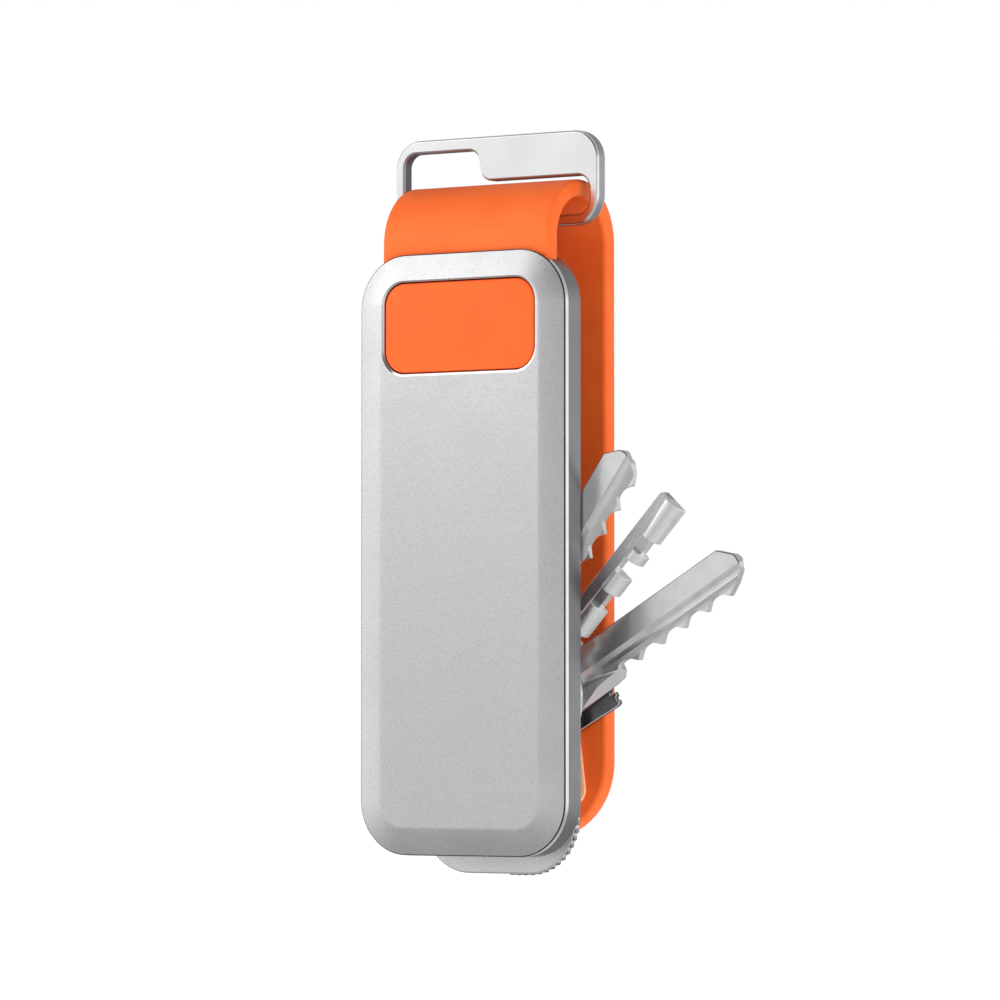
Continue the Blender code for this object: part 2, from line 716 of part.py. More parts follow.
def rivet_places():
    """The three rivets' X."""
    return [-RIVET_SPACING, 0.0, RIVET_SPACING]


def make_tongue():
    """Steel end of the strap, with the window that the latch's nose stands in."""
    side = TONGUE_WIDTH / 2
    foot = [(-side, TONGUE_LOW, TONGUE_CORNER), (side, TONGUE_LOW, TONGUE_CORNER)]
    outline = rounded([*foot, (side, TONGUE_TOP, 0), (-side, TONGUE_TOP, 0)])
    clear_height = NOSE_HEIGHT + 2 * LOOSE_GAP
    window = rounded_rectangle(NOSE_WIDTH + 2 * LOOSE_GAP, clear_height, LOOSE_GAP, BUTTON_Z)
    holes = [circle(RIVET_RADIUS + GAP, x, RIVET_Z) for x in rivet_places()]
    return tool_steel(slab("strap_tongue", [outline, window, *holes], TONGUE_FRONT, TONGUE_REAR))


def make_rivets():
    """Rivets through the tongue and the strap's end."""
    front = TONGUE_FRONT - GAP
    back = TONGUE_REAR + SLIDE_GAP + STRAP_END_THICKNESS + GAP
    profile = [
        (0, back + RIVET_HEAD_DEPTH),
        (RIVET_HEAD, back + RIVET_HEAD_DEPTH),
        (RIVET_HEAD, back),
        (RIVET_RADIUS, back),
        (RIVET_RADIUS, front),
        (RIVET_HEAD, front),
        (RIVET_HEAD, front - RIVET_HEAD_DEPTH),
        (0, front - RIVET_HEAD_DEPTH),
    ]
    rivets = []
    for index, x in enumerate(rivet_places(), 1):
        rivet = tool_steel(turned(f"tongue_rivet_{index}", profile))
        rivet.location = (x, 0, RIVET_Z)
        rivets.append(rivet)
    return rivets


# Hanging loop

def make_loop():
    """Flat loop with a stepped opening: a tall window at the left and a thick bar over the strap."""
    outer = rounded_rectangle(LOOP_WIDTH, LOOP_HEIGHT, LOOP_CORNER, LOOP_BOTTOM + LOOP_HEIGHT / 2)
    floor = LOOP_BOTTOM + LOOP_BOTTOM_BAR
    under_bar = LOOP_TOP - LOOP_THICK_BAR
    opening = rounded(
        [
            (LOOP_LEFT, floor, LOOP_INNER_CORNER),
            (-LOOP_LEFT, floor, LOOP_INNER_CORNER),
            (-LOOP_LEFT, under_bar, LOOP_INNER_CORNER),
            (LOOP_STEP_TOP + LOOP_STEP_RUN, under_bar, LOOP_STEP_CORNER),
            (LOOP_STEP_TOP, HANG_Z, LOOP_STEP_CORNER),
            (LOOP_LEFT, HANG_Z, LOOP_INNER_CORNER),
        ]
    )
    half = LOOP_THICKNESS / 2
    loop = slab("hanger_loop", [outer, opening], BEND_Y - half, BEND_Y + half)
    round_edges(loop, LOOP_EDGE)
    return blasted_aluminium(loop)


# Post

def make_post():
    """Barrel with a flange inside the housing, bored from its back for the screw."""
    flange_front = FLOOR_FRONT - GAP - POST_FLANGE_DEPTH
    back = STRAP_REAR - CUP_RECESS - SLIDE_GAP
    bore_end = HEAD_FRONT - SCREW_LENGTH - POST_BORE_RUNOUT
    profile = [
        (0, bore_end),
        (POST_BORE, bore_end),
        (POST_BORE, back),
        (POST_RADIUS, back),
        (POST_RADIUS, FLOOR_FRONT - GAP),
        (POST_FLANGE, FLOOR_FRONT - GAP),
        (POST_FLANGE, flange_front),
        (0, flange_front),
    ]
    return tool_steel(turned("pivot_post", profile))


def make_pivot_screw():
    """Slotted screw in the post, with a low rounded head."""
    back = HEAD_FRONT + SCREW_HEAD_DEPTH
    edge = SCREW_HEAD_DEPTH / 3
    profile = [
        (0, back),
        (SCREW_HEAD - edge, back),
        (SCREW_HEAD, back - edge),
        (SCREW_HEAD, HEAD_FRONT),
        (SCREW_RADIUS, HEAD_FRONT),
        (SCREW_RADIUS, HEAD_FRONT - SCREW_LENGTH),
        (0, HEAD_FRONT - SCREW_LENGTH),
    ]
    screw = turned("pivot_screw", profile)
    slot_low = (-2 * SCREW_HEAD, back - SCREW_SLOT_DEPTH, -SCREW_SLOT / 2)
    cut(screw, box("screw_slot", slot_low, (2 * SCREW_HEAD, back + SEAM, SCREW_SLOT / 2)))
    screw.location.z = PIVOT_HEIGHT
    return tool_steel(screw)


def make_cup_washer():
    """Dished washer that spreads the screw's load on the strap."""
    cup = washer("cup_washer", CUP_RADIUS, CUP_FRONT, CUP_FRONT + CUP_THICKNESS, SCREW_RADIUS + SLIDE_GAP)
    cup.location.z = PIVOT_HEIGHT
    return tool_steel(cup)


# Keys and tool: each is made with its hole at the origin, and lies in its own layer along Y

def tooth_edge(key):
    """The cut side of a key from its tip towards its bow: a V of one depth between each two crests."""
    points = []
    for index in range(KEY_CUTS):
        top = key.first_tooth - key.pitch * index
        root = key.crest - key.cut_depth
        quarter = key.pitch / 4
        points += [(key.crest, top), (key.crest, top - quarter)]
        points += [(root, top - 2 * quarter), (root, top - 3 * quarter)]
    return points


def bow(radius, centre, half_neck, neck_shift):
    """The round end of a key, from the neck's cut side round to its back, as points."""
    start = pi / 2 - (half_neck - neck_shift) / radius
    end = pi / 2 + (half_neck + neck_shift) / radius - 2 * pi
    turns = [start + (end - start) * index / BOW_STEPS for index in range(BOW_STEPS + 1)]
    return [(radius * cos(turn), centre + radius * sin(turn)) for turn in turns]


def pin_key(name, layer, key):
    """Pin-tumbler key: toothed blade with a milled step on its front, round bow with the post's hole."""
    tip = [
        (key.back_edge, KEY_LENGTH - KEY_TIP_BACK_DROP),
        (key.back_edge + KEY_TIP_BACK_RUN, KEY_LENGTH),
        (key.crest - KEY_TIP_CUT_RUN, KEY_LENGTH),
        (key.crest - KEY_TIP_SHOULDER_RUN, KEY_LENGTH - KEY_TIP_SHOULDER_DROP),
    ]
    middle = (key.crest + key.back_edge) / 2
    half = (key.crest - key.back_edge) / 2
    outline = tip + tooth_edge(key) + bow(key.bow_radius, key.bow_centre, half, middle)
    front, back = layer
    blade = slab(name, [outline, circle(HOLE_RADIUS)], front, back)
    step = front + (back - front) / 4
    groove_low = (key.groove_edge, front - SEAM, key.bow_centre + key.bow_radius)
    cut(blade, box(name + "_groove", groove_low, (key.crest + SEAM, step, KEY_LENGTH + SEAM)))
    return key_steel(blade)


def half_round_key(name, layer):
    """Key with a flat spine and a half-round side that is cut into segments."""
    front, back = layer
    spine = [
        (ROUND_KEY_BACK, ROUND_KEY_LENGTH),
        (ROUND_KEY_SPINE, ROUND_KEY_LENGTH),
        (ROUND_KEY_SPINE, ROUND_KEY_NECK),
        (ROUND_KEY_EDGE, ROUND_KEY_NECK),
    ]
    half_neck = (ROUND_KEY_EDGE - ROUND_KEY_BACK) / 2
    neck_shift = (ROUND_KEY_EDGE + ROUND_KEY_BACK) / 2
    outline = spine + bow(ROUND_KEY_BOW, ROUND_KEY_BOW_CENTRE, half_neck, neck_shift)
    key = slab(name, [outline, circle(HOLE_RADIUS)], back - SPINE_THICKNESS, back)
    for index, (low, high) in enumerate(ROUND_KEY_SEGMENTS, 1):
        join(key, half_round_segment(f"{name}_segment_{index}", front, back, low, high))
    edge = ROUND_KEY_EDGE - ROUND_KEY_CORE_STEP
    for index, (low, high) in enumerate(ROUND_KEY_CORES, 1):
        core_low = (ROUND_KEY_BACK / 2, back - CORE_THICKNESS, low - SLIDE_GAP)
        join(key, box(f"{name}_core_{index}", core_low, (edge, back - GAP, high + SLIDE_GAP)))
    return key_steel(key)


def half_round_segment(name, front, back, low, high):
    """A stretch of half-round bar along Z, flat at the back."""
    middle = (ROUND_KEY_SPINE + ROUND_KEY_EDGE) / 2
    radius = (ROUND_KEY_EDGE - ROUND_KEY_SPINE) / 2 + LOOSE_GAP
    depth = back - front - GAP
    turns = [pi * index / HALF_ROUND_STEPS for index in range(HALF_ROUND_STEPS + 1)]
    profile = [(middle + radius * cos(turn), -depth * sin(turn)) for turn in turns]
    bar = slab(name, [profile], -(high - low) / 2, (high - low) / 2, CUTTERS)
    bar.rotation_euler.x = -pi / 2
    bar.location = (0, back - GAP / 2, (low + high) / 2)
    return made_mesh(name, bar, CUTTERS)


def thin_key(name, layer):
    """Short key with a scooped cut side."""
    scoop_z = THIN_KEY_LENGTH - THIN_KEY_SCOOP
    blade = rounded(
        [
            (THIN_KEY_BACK, THIN_KEY_LENGTH, THIN_KEY_CORNER),
            (THIN_KEY_EDGE, THIN_KEY_LENGTH, THIN_KEY_CORNER),
            (THIN_KEY_EDGE - THIN_KEY_SCOOP_DEPTH, scoop_z, THIN_KEY_CORNER),
            (THIN_KEY_NECK_EDGE, THIN_KEY_NECK, 0),
            (THIN_KEY_BACK, THIN_KEY_NECK, 0),
        ]
    )
    half_neck = (THIN_KEY_NECK_EDGE - THIN_KEY_BACK) / 2
    neck_shift = (THIN_KEY_NECK_EDGE + THIN_KEY_BACK) / 2
    outline = blade[:-1] + bow(THIN_KEY_BOW, THIN_KEY_BOW_CENTRE, half_neck, neck_shift)
    return key_steel(slab(name, [outline, circle(HOLE_RADIUS)], *layer))


def flat_key(name, layer):
    """Short wide key with fine cuts across the corner of its end."""
    side = FLAT_KEY_EDGE
    length = FLAT_KEY_LENGTH
    cuts = [(side - FINE_CUT * index, length - FINE_CUT * (index % 2)) for index in range(FINE_CUT_COUNT)]
    outline = [(-side + FINE_CUT, length), *reversed(cuts), (side, length - 2 * FINE_CUT)]
    outline += bow(FLAT_KEY_BOW, 0, side, 0)
    return key_steel(slab(name, [outline, circle(HOLE_RADIUS)], *layer))


def make_multi_tool(layer):
    """Folding tool: flat blade upwards, and below the housing a wide thumb end with a knurled corner."""
    half = BODY_WIDTH / 2 - TOOL_MARGIN
    low = -PIVOT_HEIGHT - TOOL_OVERHANG
    blade_low = TOOL_SHOULDER + TOOL_SHOULDER_RISE
    tip_half = TOOL_TIP_WIDTH / 2
    body = rounded(
        [
            (-half, low, TOOL_CORNER),
            (half, low, 0),
            (half, TOOL_SHOULDER, TOOL_SHOULDER_RISE),
            (TOOL_BLADE, blade_low, TOOL_BLADE_FILLET),
            (TOOL_BLADE, TOOL_TIP - TOOL_TIP_TAPER, TOOL_TIP_CORNER),
            (tip_half, TOOL_TIP, 0),
            (-tip_half, TOOL_TIP, 0),
            (-TOOL_BLADE, TOOL_TIP - TOOL_TIP_TAPER, TOOL_TIP_CORNER),
            (-TOOL_BLADE, blade_low, TOOL_BLADE_FILLET),
            (-half, TOOL_SHOULDER, TOOL_SHOULDER_RISE),
        ]
    )
    corner = body.index((half, low))
    outline = body[:corner] + knurled_corner(half, low) + body[corner + 1:]
    tool = slab("multi_tool", [outline, circle(HOLE_RADIUS)], *layer)
    hook_edge = HOOK_DEPTH - TOOL_BLADE
    hook_outside = -TOOL_BLADE - HOOK_DEPTH
    hook_high = HOOK_LOW + HOOK_HEIGHT
    hook = rounded(
        [
            (hook_outside, HOOK_LOW, 0),
            (hook_edge, HOOK_LOW, TOOL_TIP_CORNER),
            (hook_edge, hook_high, TOOL_TIP_CORNER),
            (hook_outside, hook_high, 0),
        ]
    )
    cut(tool, slab("opener_hook", [hook], layer[0] - SEAM, layer[1] + SEAM, CUTTERS))
    return tool_steel(tool)


def knurled_corner(half, low):
    """Teeth of one pitch along the bottom edge, round the corner and up the side, for the thumb."""
    start = half - TOOL_CORNER - KNURL_FLAT
    corner_length = TOOL_CORNER * pi / 2
    length = KNURL_FLAT + corner_length + KNURL_FLAT / 2
    points = []
    for index in range(2 * int(length / KNURL_PITCH) + 1):
        along = index * KNURL_PITCH / 2
        lift = KNURL_DEPTH if index % 2 else -KNURL_DEPTH
        if along < KNURL_FLAT:
            points.append((start + along, low - lift))
            continue
        turn = min((along - KNURL_FLAT) / TOOL_CORNER, pi / 2)
        past = max(along - KNURL_FLAT - corner_length, 0)
        reach = TOOL_CORNER + lift
        points.append((half - TOOL_CORNER + reach * sin(turn), low + TOOL_CORNER - reach * cos(turn) + past))
    return points


def make_strap_pad(layer):
    """Wear pad between the last key and the strap, wider towards its foot."""
    outline = rounded(
        [
            (-PAD_FOOT_WIDTH / 2, PAD_FOOT, PAD_FOOT_CORNER),
            (PAD_FOOT_WIDTH / 2, PAD_FOOT, PAD_FOOT_CORNER),
            (PAD_TOP_WIDTH / 2, PAD_TOP, PAD_TOP_CORNER),
            (-PAD_TOP_WIDTH / 2, PAD_TOP, PAD_TOP_CORNER),
        ]
    )
    return peach_nylon(slab("strap_pad", [outline, circle(HOLE_RADIUS)], *layer))


def make_fan():
    """Everything on the post: washers, keys, tool and pad, in order from the frame to the strap."""
    front = FRAME_REAR
    layers = {}
    for name, thickness in STACK:
        layers[name] = (front + GAP, front + GAP + thickness)
        front += GAP + thickness
    pieces = [
        pin_key("key_1", layers["key_1"], FIRST_KEY),
        half_round_key("key_2", layers["key_2"]),
        pin_key("key_3", layers["key_3"], LONG_KEY),
        thin_key("key_4", layers["key_4"]),
        flat_key("key_5", layers["key_5"]),
        make_multi_tool(layers["multi_tool"]),
        make_strap_pad(layers["strap_pad"]),
    ]
    for name, layer in layers.items():
        if name.startswith("key_washer"):
            pieces.append(tool_steel(washer(name, WASHER_RADIUS, *layer, HOLE_RADIUS)))
    for piece in pieces:
        piece.location.z = PIVOT_HEIGHT
        piece.rotation_euler.y = radians(KEY_ANGLES.get(piece.name, 0))
    return pieces


def clear_scene():
    """Remove what a new file starts with."""
    for old in list(bpy.data.objects):
        bpy.data.objects.remove(old)


def main():
    """Build the organiser and hang it from the world's origin."""
    clear_scene()
    bpy.context.scene.collection.children.link(PARTS)
    bpy.context.scene.collection.children.link(CUTTERS)
    pieces = [make_cover(), make_gasket(), make_frame(), *make_cover_screws()]
    pieces += [make_button(), make_button_guide(), make_latch_carrier(), make_latch_spring()]
    pieces += [make_strap(), make_tongue(), *make_rivets()]
    pieces.append(make_loop())
    post = make_post()
    post.location.z = PIVOT_HEIGHT
    pieces += [post, make_pivot_screw(), make_cup_washer(), *make_fan()]
    organiser = bpy.data.objects.new("organiser_frame", None)
    organiser.location = (-HANG_X, -BEND_Y, -HANG_Z)
    PARTS.objects.link(organiser)
    for piece in pieces:
        piece.parent = organiser


main()
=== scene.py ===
"""Looks of the key organiser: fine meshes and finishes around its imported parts.

Shapes are made in millimetres in the organiser's own frame: X across from its centre line, Y from its front
face to its back, Z up from the housing's bottom. Shop.keep() moves each finished shape to the row's frame.
"""

import json
import logging
from dataclasses import dataclass, field
from enum import Enum
from math import acos, asin, atan2, cos, pi, radians, sin, tan
from typing import Callable, Mapping, Sequence

import bmesh
import bpy
from mathutils import Matrix, Vector


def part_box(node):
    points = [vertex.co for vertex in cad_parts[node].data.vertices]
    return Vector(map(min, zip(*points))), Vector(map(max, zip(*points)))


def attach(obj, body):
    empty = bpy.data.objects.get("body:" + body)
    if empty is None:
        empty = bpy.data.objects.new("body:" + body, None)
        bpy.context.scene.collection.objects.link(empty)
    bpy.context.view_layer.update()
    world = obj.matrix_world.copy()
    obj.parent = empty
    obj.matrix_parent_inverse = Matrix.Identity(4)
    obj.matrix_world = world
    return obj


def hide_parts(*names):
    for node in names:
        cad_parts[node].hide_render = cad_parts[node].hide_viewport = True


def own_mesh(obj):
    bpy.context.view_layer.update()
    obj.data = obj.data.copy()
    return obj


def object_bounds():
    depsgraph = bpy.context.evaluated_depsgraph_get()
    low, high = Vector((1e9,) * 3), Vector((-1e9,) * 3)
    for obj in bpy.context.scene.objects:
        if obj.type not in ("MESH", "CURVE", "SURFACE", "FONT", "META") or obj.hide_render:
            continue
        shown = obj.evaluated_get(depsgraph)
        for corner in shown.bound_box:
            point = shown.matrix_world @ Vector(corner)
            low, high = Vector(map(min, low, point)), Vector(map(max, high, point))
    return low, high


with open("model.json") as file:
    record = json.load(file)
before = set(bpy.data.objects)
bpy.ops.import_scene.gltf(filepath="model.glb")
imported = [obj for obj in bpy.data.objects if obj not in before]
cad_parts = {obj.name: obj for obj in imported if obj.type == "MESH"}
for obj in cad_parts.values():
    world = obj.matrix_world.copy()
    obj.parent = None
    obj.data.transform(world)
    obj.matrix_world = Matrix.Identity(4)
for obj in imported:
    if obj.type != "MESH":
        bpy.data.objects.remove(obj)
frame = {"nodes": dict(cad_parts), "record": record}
cad_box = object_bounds()

MM = 0.001
CORNER_STEPS = 14
ROUND_STEPS = 96
EDGE_STEPS = 3
SMOOTH_ANGLE = radians(32)
WELD = 0.0005
HOLE = 2.6
LOG = logging.getLogger("key_organiser")

Point = tuple[float, float]
Outline = list[Point]
Ring = list[Vector]
Piece = bpy.types.Object
Socket = bpy.types.NodeSocket


class Join(Enum):
    """How a carving tool acts on a piece."""

    CUT = "DIFFERENCE"
    ADD = "UNION"


class Bar(Enum):
    """Which way a turned piece's profile is closed."""

    SOLID = "solid"
    BORED = "bored"


# Outlines

def rounded(corners: Sequence[tuple[float, float, float]], steps: int = CORNER_STEPS) -> Outline:
    """An outline with an arc at each corner.

    Args:
        corners: x, z and radius of each corner, in order.
        steps: facets in each arc.

    Returns:
        The outline's points.
    """
    outline: Outline = []
    for index, (x, z, radius) in enumerate(corners):
        if radius == 0:
            outline.append((x, z))
            continue
        here = Vector((x, z))
        to_last = (Vector(corners[index - 1][:2]) - here).normalized()
        to_next = (Vector(corners[(index + 1) % len(corners)][:2]) - here).normalized()
        half = to_last.angle(to_next) / 2
        centre = here + (to_last + to_next).normalized() * radius / sin(half)
        start = here + to_last * radius / tan(half) - centre
        end = here + to_next * radius / tan(half) - centre
        turn = atan2(start.x * end.y - start.y * end.x, start.dot(end))
        for step in range(steps + 1):
            outline.append(tuple(centre + Matrix.Rotation(turn * step / steps, 2) @ start))
    return outline


def rounded_rectangle(width: float, height: float, radius: float, centre_z: float) -> Outline:
    """A rectangle about X = 0 with round corners."""
    low = centre_z - height / 2
    high = centre_z + height / 2
    side = width / 2
    return rounded([(-side, low, radius), (side, low, radius), (side, high, radius), (-side, high, radius)])


def circle(radius: float, x: float = 0.0, z: float = 0.0, steps: int = ROUND_STEPS) -> Outline:
    """A round outline."""
    turns = [2 * pi * index / steps for index in range(steps)]
    return [(x + radius * cos(turn), z + radius * sin(turn)) for turn in turns]


def ring(outline: Outline, y: float) -> Ring:
    """An outline at one place along Y."""
    return [Vector((x, y, z)) for x, z in outline]


# Shapes, in millimetres

def as_object(name: str, shape: bmesh.types.BMesh) -> Piece:
    """A new object that holds the shape, which is freed."""
    mesh = bpy.data.meshes.new(name)
    shape.to_mesh(mesh)
    shape.free()
    piece = bpy.data.objects.new(name, mesh)
    bpy.context.scene.collection.objects.link(piece)
    return piece


def bake(piece: Piece) -> Piece:
    """Turn the piece's modifiers into plain mesh."""
    bpy.context.view_layer.update()
    graph = bpy.context.evaluated_depsgraph_get()
    mesh = bpy.data.meshes.new_from_object(piece.evaluated_get(graph))
    piece.modifiers.clear()
    piece.data = mesh
    return piece


def loft(
    name: str, rings: Sequence[Ring], closed: bool = False, bands: Mapping[int, int] | None = None
) -> Piece:
    """A skin through rings of equal length, capped at both ends or closed on itself.

    Args:
        name: the object's name.
        rings: rings in order, each one a loop of points.
        closed: join the last ring to the first, in place of two caps.
        bands: material index of the band that starts at a ring's number.

    Returns:
        The new object.
    """
    shape = bmesh.new()
    loops = [[shape.verts.new(point) for point in points] for points in rings]
    count = len(rings[0])
    pairs = len(loops) if closed else len(loops) - 1
    for index in range(pairs):
        near = loops[index]
        far = loops[(index + 1) % len(loops)]
        for step in range(count):
            after = (step + 1) % count
            face = shape.faces.new((near[step], near[after], far[after], far[step]))
            face.material_index = (bands or {}).get(index, 0)
    if not closed:
        shape.faces.new(loops[0])
        shape.faces.new(loops[-1])
    bmesh.ops.recalc_face_normals(shape, faces=shape.faces)
    return as_object(name, shape)


def turned(name: str, profile: Sequence[Point], bar: Bar = Bar.SOLID) -> Piece:
    """A round piece about the Y axis, from (radius, y) points."""
    return loft(name, [ring(circle(radius), y) for radius, y in profile], closed=bar is Bar.BORED)


def plate(name: str, outlines: Sequence[Outline], front: float, back: float, edge: float) -> Piece:
    """A flat piece with rounded edges; an outline inside another is a hole.

    Args:
        name: the object's name.
        outlines: closed outlines.
        front: place of the front face along Y.
        back: place of the back face along Y.
        edge: how far the rounded edge reaches.

    Returns:
        The new object.
    """
    curve = bpy.data.curves.new(name, "CURVE")
    curve.dimensions = "2D"
    curve.fill_mode = "BOTH"
    curve.extrude = (back - front) / 2 - edge
    curve.bevel_depth = edge
    curve.bevel_resolution = EDGE_STEPS - 1
    curve.offset = -edge
    for outline in outlines:
        spline = curve.splines.new("POLY")
        spline.points.add(len(outline) - 1)
        for point, (x, z) in zip(spline.points, outline):
            point.co = (x, z, 0, 1)
        spline.use_cyclic_u = True
    guide = bpy.data.objects.new(name + "_guide", curve)
    bpy.context.scene.collection.objects.link(guide)
    bpy.context.view_layer.update()
    mesh = bpy.data.meshes.new_from_object(guide.evaluated_get(bpy.context.evaluated_depsgraph_get()))
    bpy.data.objects.remove(guide)
    shape = bmesh.new()
    shape.from_mesh(mesh)
    place = Matrix.Translation((0, (front + back) / 2, 0)) @ Matrix.Rotation(pi / 2, 4, "X")
    bmesh.ops.transform(shape, matrix=place, verts=shape.verts)
    bmesh.ops.remove_doubles(shape, verts=shape.verts, dist=WELD)
    bmesh.ops.recalc_face_normals(shape, faces=shape.faces)
    bpy.data.meshes.remove(mesh)
    return as_object(name, shape)


def block(name: str, low: Sequence[float], high: Sequence[float]) -> Piece:
    """A cutting block between two corners."""
    shape = bmesh.new()
    size = Vector(high) - Vector(low)
    middle = (Vector(low) + Vector(high)) / 2
    bmesh.ops.create_cube(shape, size=1, matrix=Matrix.Translation(middle) @ Matrix.Diagonal((*size, 1)))
    return as_object(name, shape)


def pin(name: str, radius: float, front: float, back: float, x: float = 0.0, z: float = 0.0) -> Piece:
    """A round cutting bar along Y."""
    return loft(name, [ring(circle(radius, x, z), front), ring(circle(radius, x, z), back)])


def prism(name: str, profile: Outline, low: float, high: float) -> Piece:
    """A cutting bar along Z, from a profile of (x, y) points."""
    return loft(name, [[Vector((x, y, z)) for x, y in profile] for z in (low, high)])


def carve(piece: Piece, tool: Piece, way: Join = Join.CUT) -> Piece:
    """Cut the tool out of the piece, or add it on, and remove the tool."""
    boolean = piece.modifiers.new(tool.name, "BOOLEAN")
    boolean.operation = way.value
    boolean.solver = "EXACT"
    boolean.material_mode = "INDEX"
    boolean.object = tool
    bake(piece)
    bpy.data.objects.remove(tool)
    return piece


# Node trees

class Tree:
    """A node tree in the making."""

    def __init__(self, tree: bpy.types.NodeTree) -> None:
        """Build in this tree."""
        self.tree = tree

    def add(
        self, kind: str, inputs: Mapping[str | int, object] | None = None, **settings: object
    ) -> bpy.types.Node:
        """Add a node.

        Args:
            kind: the node's type.
            inputs: a value or another node's output for an input, by the input's name or number.
            **settings: the node's own settings.

        Returns:
            The node.
        """
        node = self.tree.nodes.new(kind)
        for name, value in settings.items():
            setattr(node, name, value)
        for name, value in (inputs or {}).items():
            if isinstance(value, Socket):
                self.tree.links.new(value, node.inputs[name])
            else:
                node.inputs[name].default_value = value
        return node

    def colours(self, value: Socket, stops: Sequence[tuple[float, Sequence[float]]]) -> Socket:
        """Colours along a pattern, from (place, colour) stops."""
        node = self.add("ShaderNodeValToRGB", {"Fac": value})
        ramp = node.color_ramp.elements
        while len(ramp) < len(stops):
            ramp.new(0.5)
        for stop, (where, colour) in zip(ramp, stops):
            stop.position = where
            stop.color = (*colour, 1)
        return node.outputs[0]


class GeometryTree(Tree):
    """A Geometry Nodes tree with named inputs, the geometry first and the finish last."""

    def __init__(self, name: str, inputs: Mapping[str, str]) -> None:
        """Start the tree.

        Args:
            name: the tree's name.
            inputs: the kind of each input between the geometry and the finish, by name.
        """
        super().__init__(bpy.data.node_groups.new(name, "GeometryNodeTree"))
        new_socket = self.tree.interface.new_socket
        self.socket_of = {
            label: new_socket(name=label, in_out="INPUT", socket_type=f"NodeSocket{kind}").identifier
            for label, kind in {"Geometry": "Geometry", **inputs, "Finish": "Material"}.items()
        }
        new_socket(name="Geometry", in_out="OUTPUT", socket_type="NodeSocketGeometry")
        self.given = self.add("NodeGroupInput").outputs

    def close(self, points: Socket, instance: Socket, rotation: Socket | Sequence[float]) -> None:
        """End the tree: the instance on each point, made real, in the finish."""
        inputs = {"Points": points, "Instance": instance, "Rotation": rotation}
        copies = self.add("GeometryNodeInstanceOnPoints", inputs)
        real = self.add("GeometryNodeRealizeInstances", {0: copies.outputs[0]})
        inputs = {"Geometry": real.outputs[0], "Material": self.given["Finish"]}
        dressed = self.add("GeometryNodeSetMaterial", inputs)
        self.add("NodeGroupOutput", {0: dressed.outputs[0]})

    def run(self, base: Piece, values: Mapping[str, object]) -> Piece:
        """Turn the base into what the tree makes of it, as plain mesh.

        Args:
            base: the mesh that the tree starts from.
            values: the tree's inputs, by name.

        Returns:
            The same object.
        """
        nodes = base.modifiers.new(self.tree.name, "NODES")
        nodes.node_group = self.tree
        for label, value in values.items():
            nodes[self.socket_of[label]] = value
        return bake(base)


# Finishes

class Recipe(Tree):
    """A material in the making: a Principled surface and short ways to add patterns to it."""

    def __init__(self, name: str, metallic: float, roughness: float) -> None:
        """Start the material.

        Args:
            name: the material's name.
            metallic: 1 for bare metal, 0 for the rest.
            roughness: the roughness where no pattern is linked.
        """
        self.material = bpy.data.materials.new(name)
        self.material.use_nodes = True
        super().__init__(self.material.node_tree)
        self.surface = self.tree.nodes["Principled BSDF"]
        self.set("Metallic", metallic)
        self.set("Roughness", roughness)
        self.place = self.add("ShaderNodeTexCoord").outputs["Object"]

    def set(self, socket: str, value: object) -> None:
        """Give the surface's socket a plain value."""
        self.surface.inputs[socket].default_value = value

    def mapped(
        self, turn: float = 0.0, stretch: Sequence[float] = (1, 1, 1), centre: Sequence[float] = (0, 0, 0)
    ) -> Socket:
        """The piece's own coordinates, centred, turned about Y and stretched.

        Args:
            turn: the turn about Y, in radians.
            stretch: scale along each axis.
            centre: the point that becomes the origin, in metres.

        Returns:
            The coordinates.
        """
        place = self.place
        moved = [-value for value in centre]
        for change in ({"Location": moved}, {"Rotation": (0, turn, 0)}, {"Scale": list(stretch)}):
            place = self.add("ShaderNodeMapping", {"Vector": place, **change}).outputs[0]
        return place

    def noise(self, vector: Socket, size: float, detail: float = 2.0) -> Socket:
        """Noise whose blotches measure about size, in millimetres."""
        inputs = {"Vector": vector, "Scale": 1 / (size * MM), "Detail": detail, "Roughness": 0.55}
        return self.add("ShaderNodeTexNoise", inputs).outputs[0]

    def spread(self, value: Socket, low: float, high: float, start: float = 0.3, end: float = 0.7) -> Socket:
        """Map a pattern from start and end to low and high."""
        inputs = {"Value": value, "From Min": start, "From Max": end, "To Min": low, "To Max": high}
        return self.add("ShaderNodeMapRange", inputs).outputs[0]

    def bump(self, height: Socket, depth: float, under: Socket | None = None) -> Socket:
        """A bumped normal; depth is in millimetres."""
        node = self.add("ShaderNodeBump", {"Height": height, "Strength": 1.0, "Distance": depth * MM})
        if under is not None:
            self.tree.links.new(under, node.inputs["Normal"])
        return node.outputs[0]

    def link(self, value: Socket, socket: str) -> None:
        """Feed a pattern to the surface's socket."""
        self.tree.links.new(value, self.surface.inputs[socket])


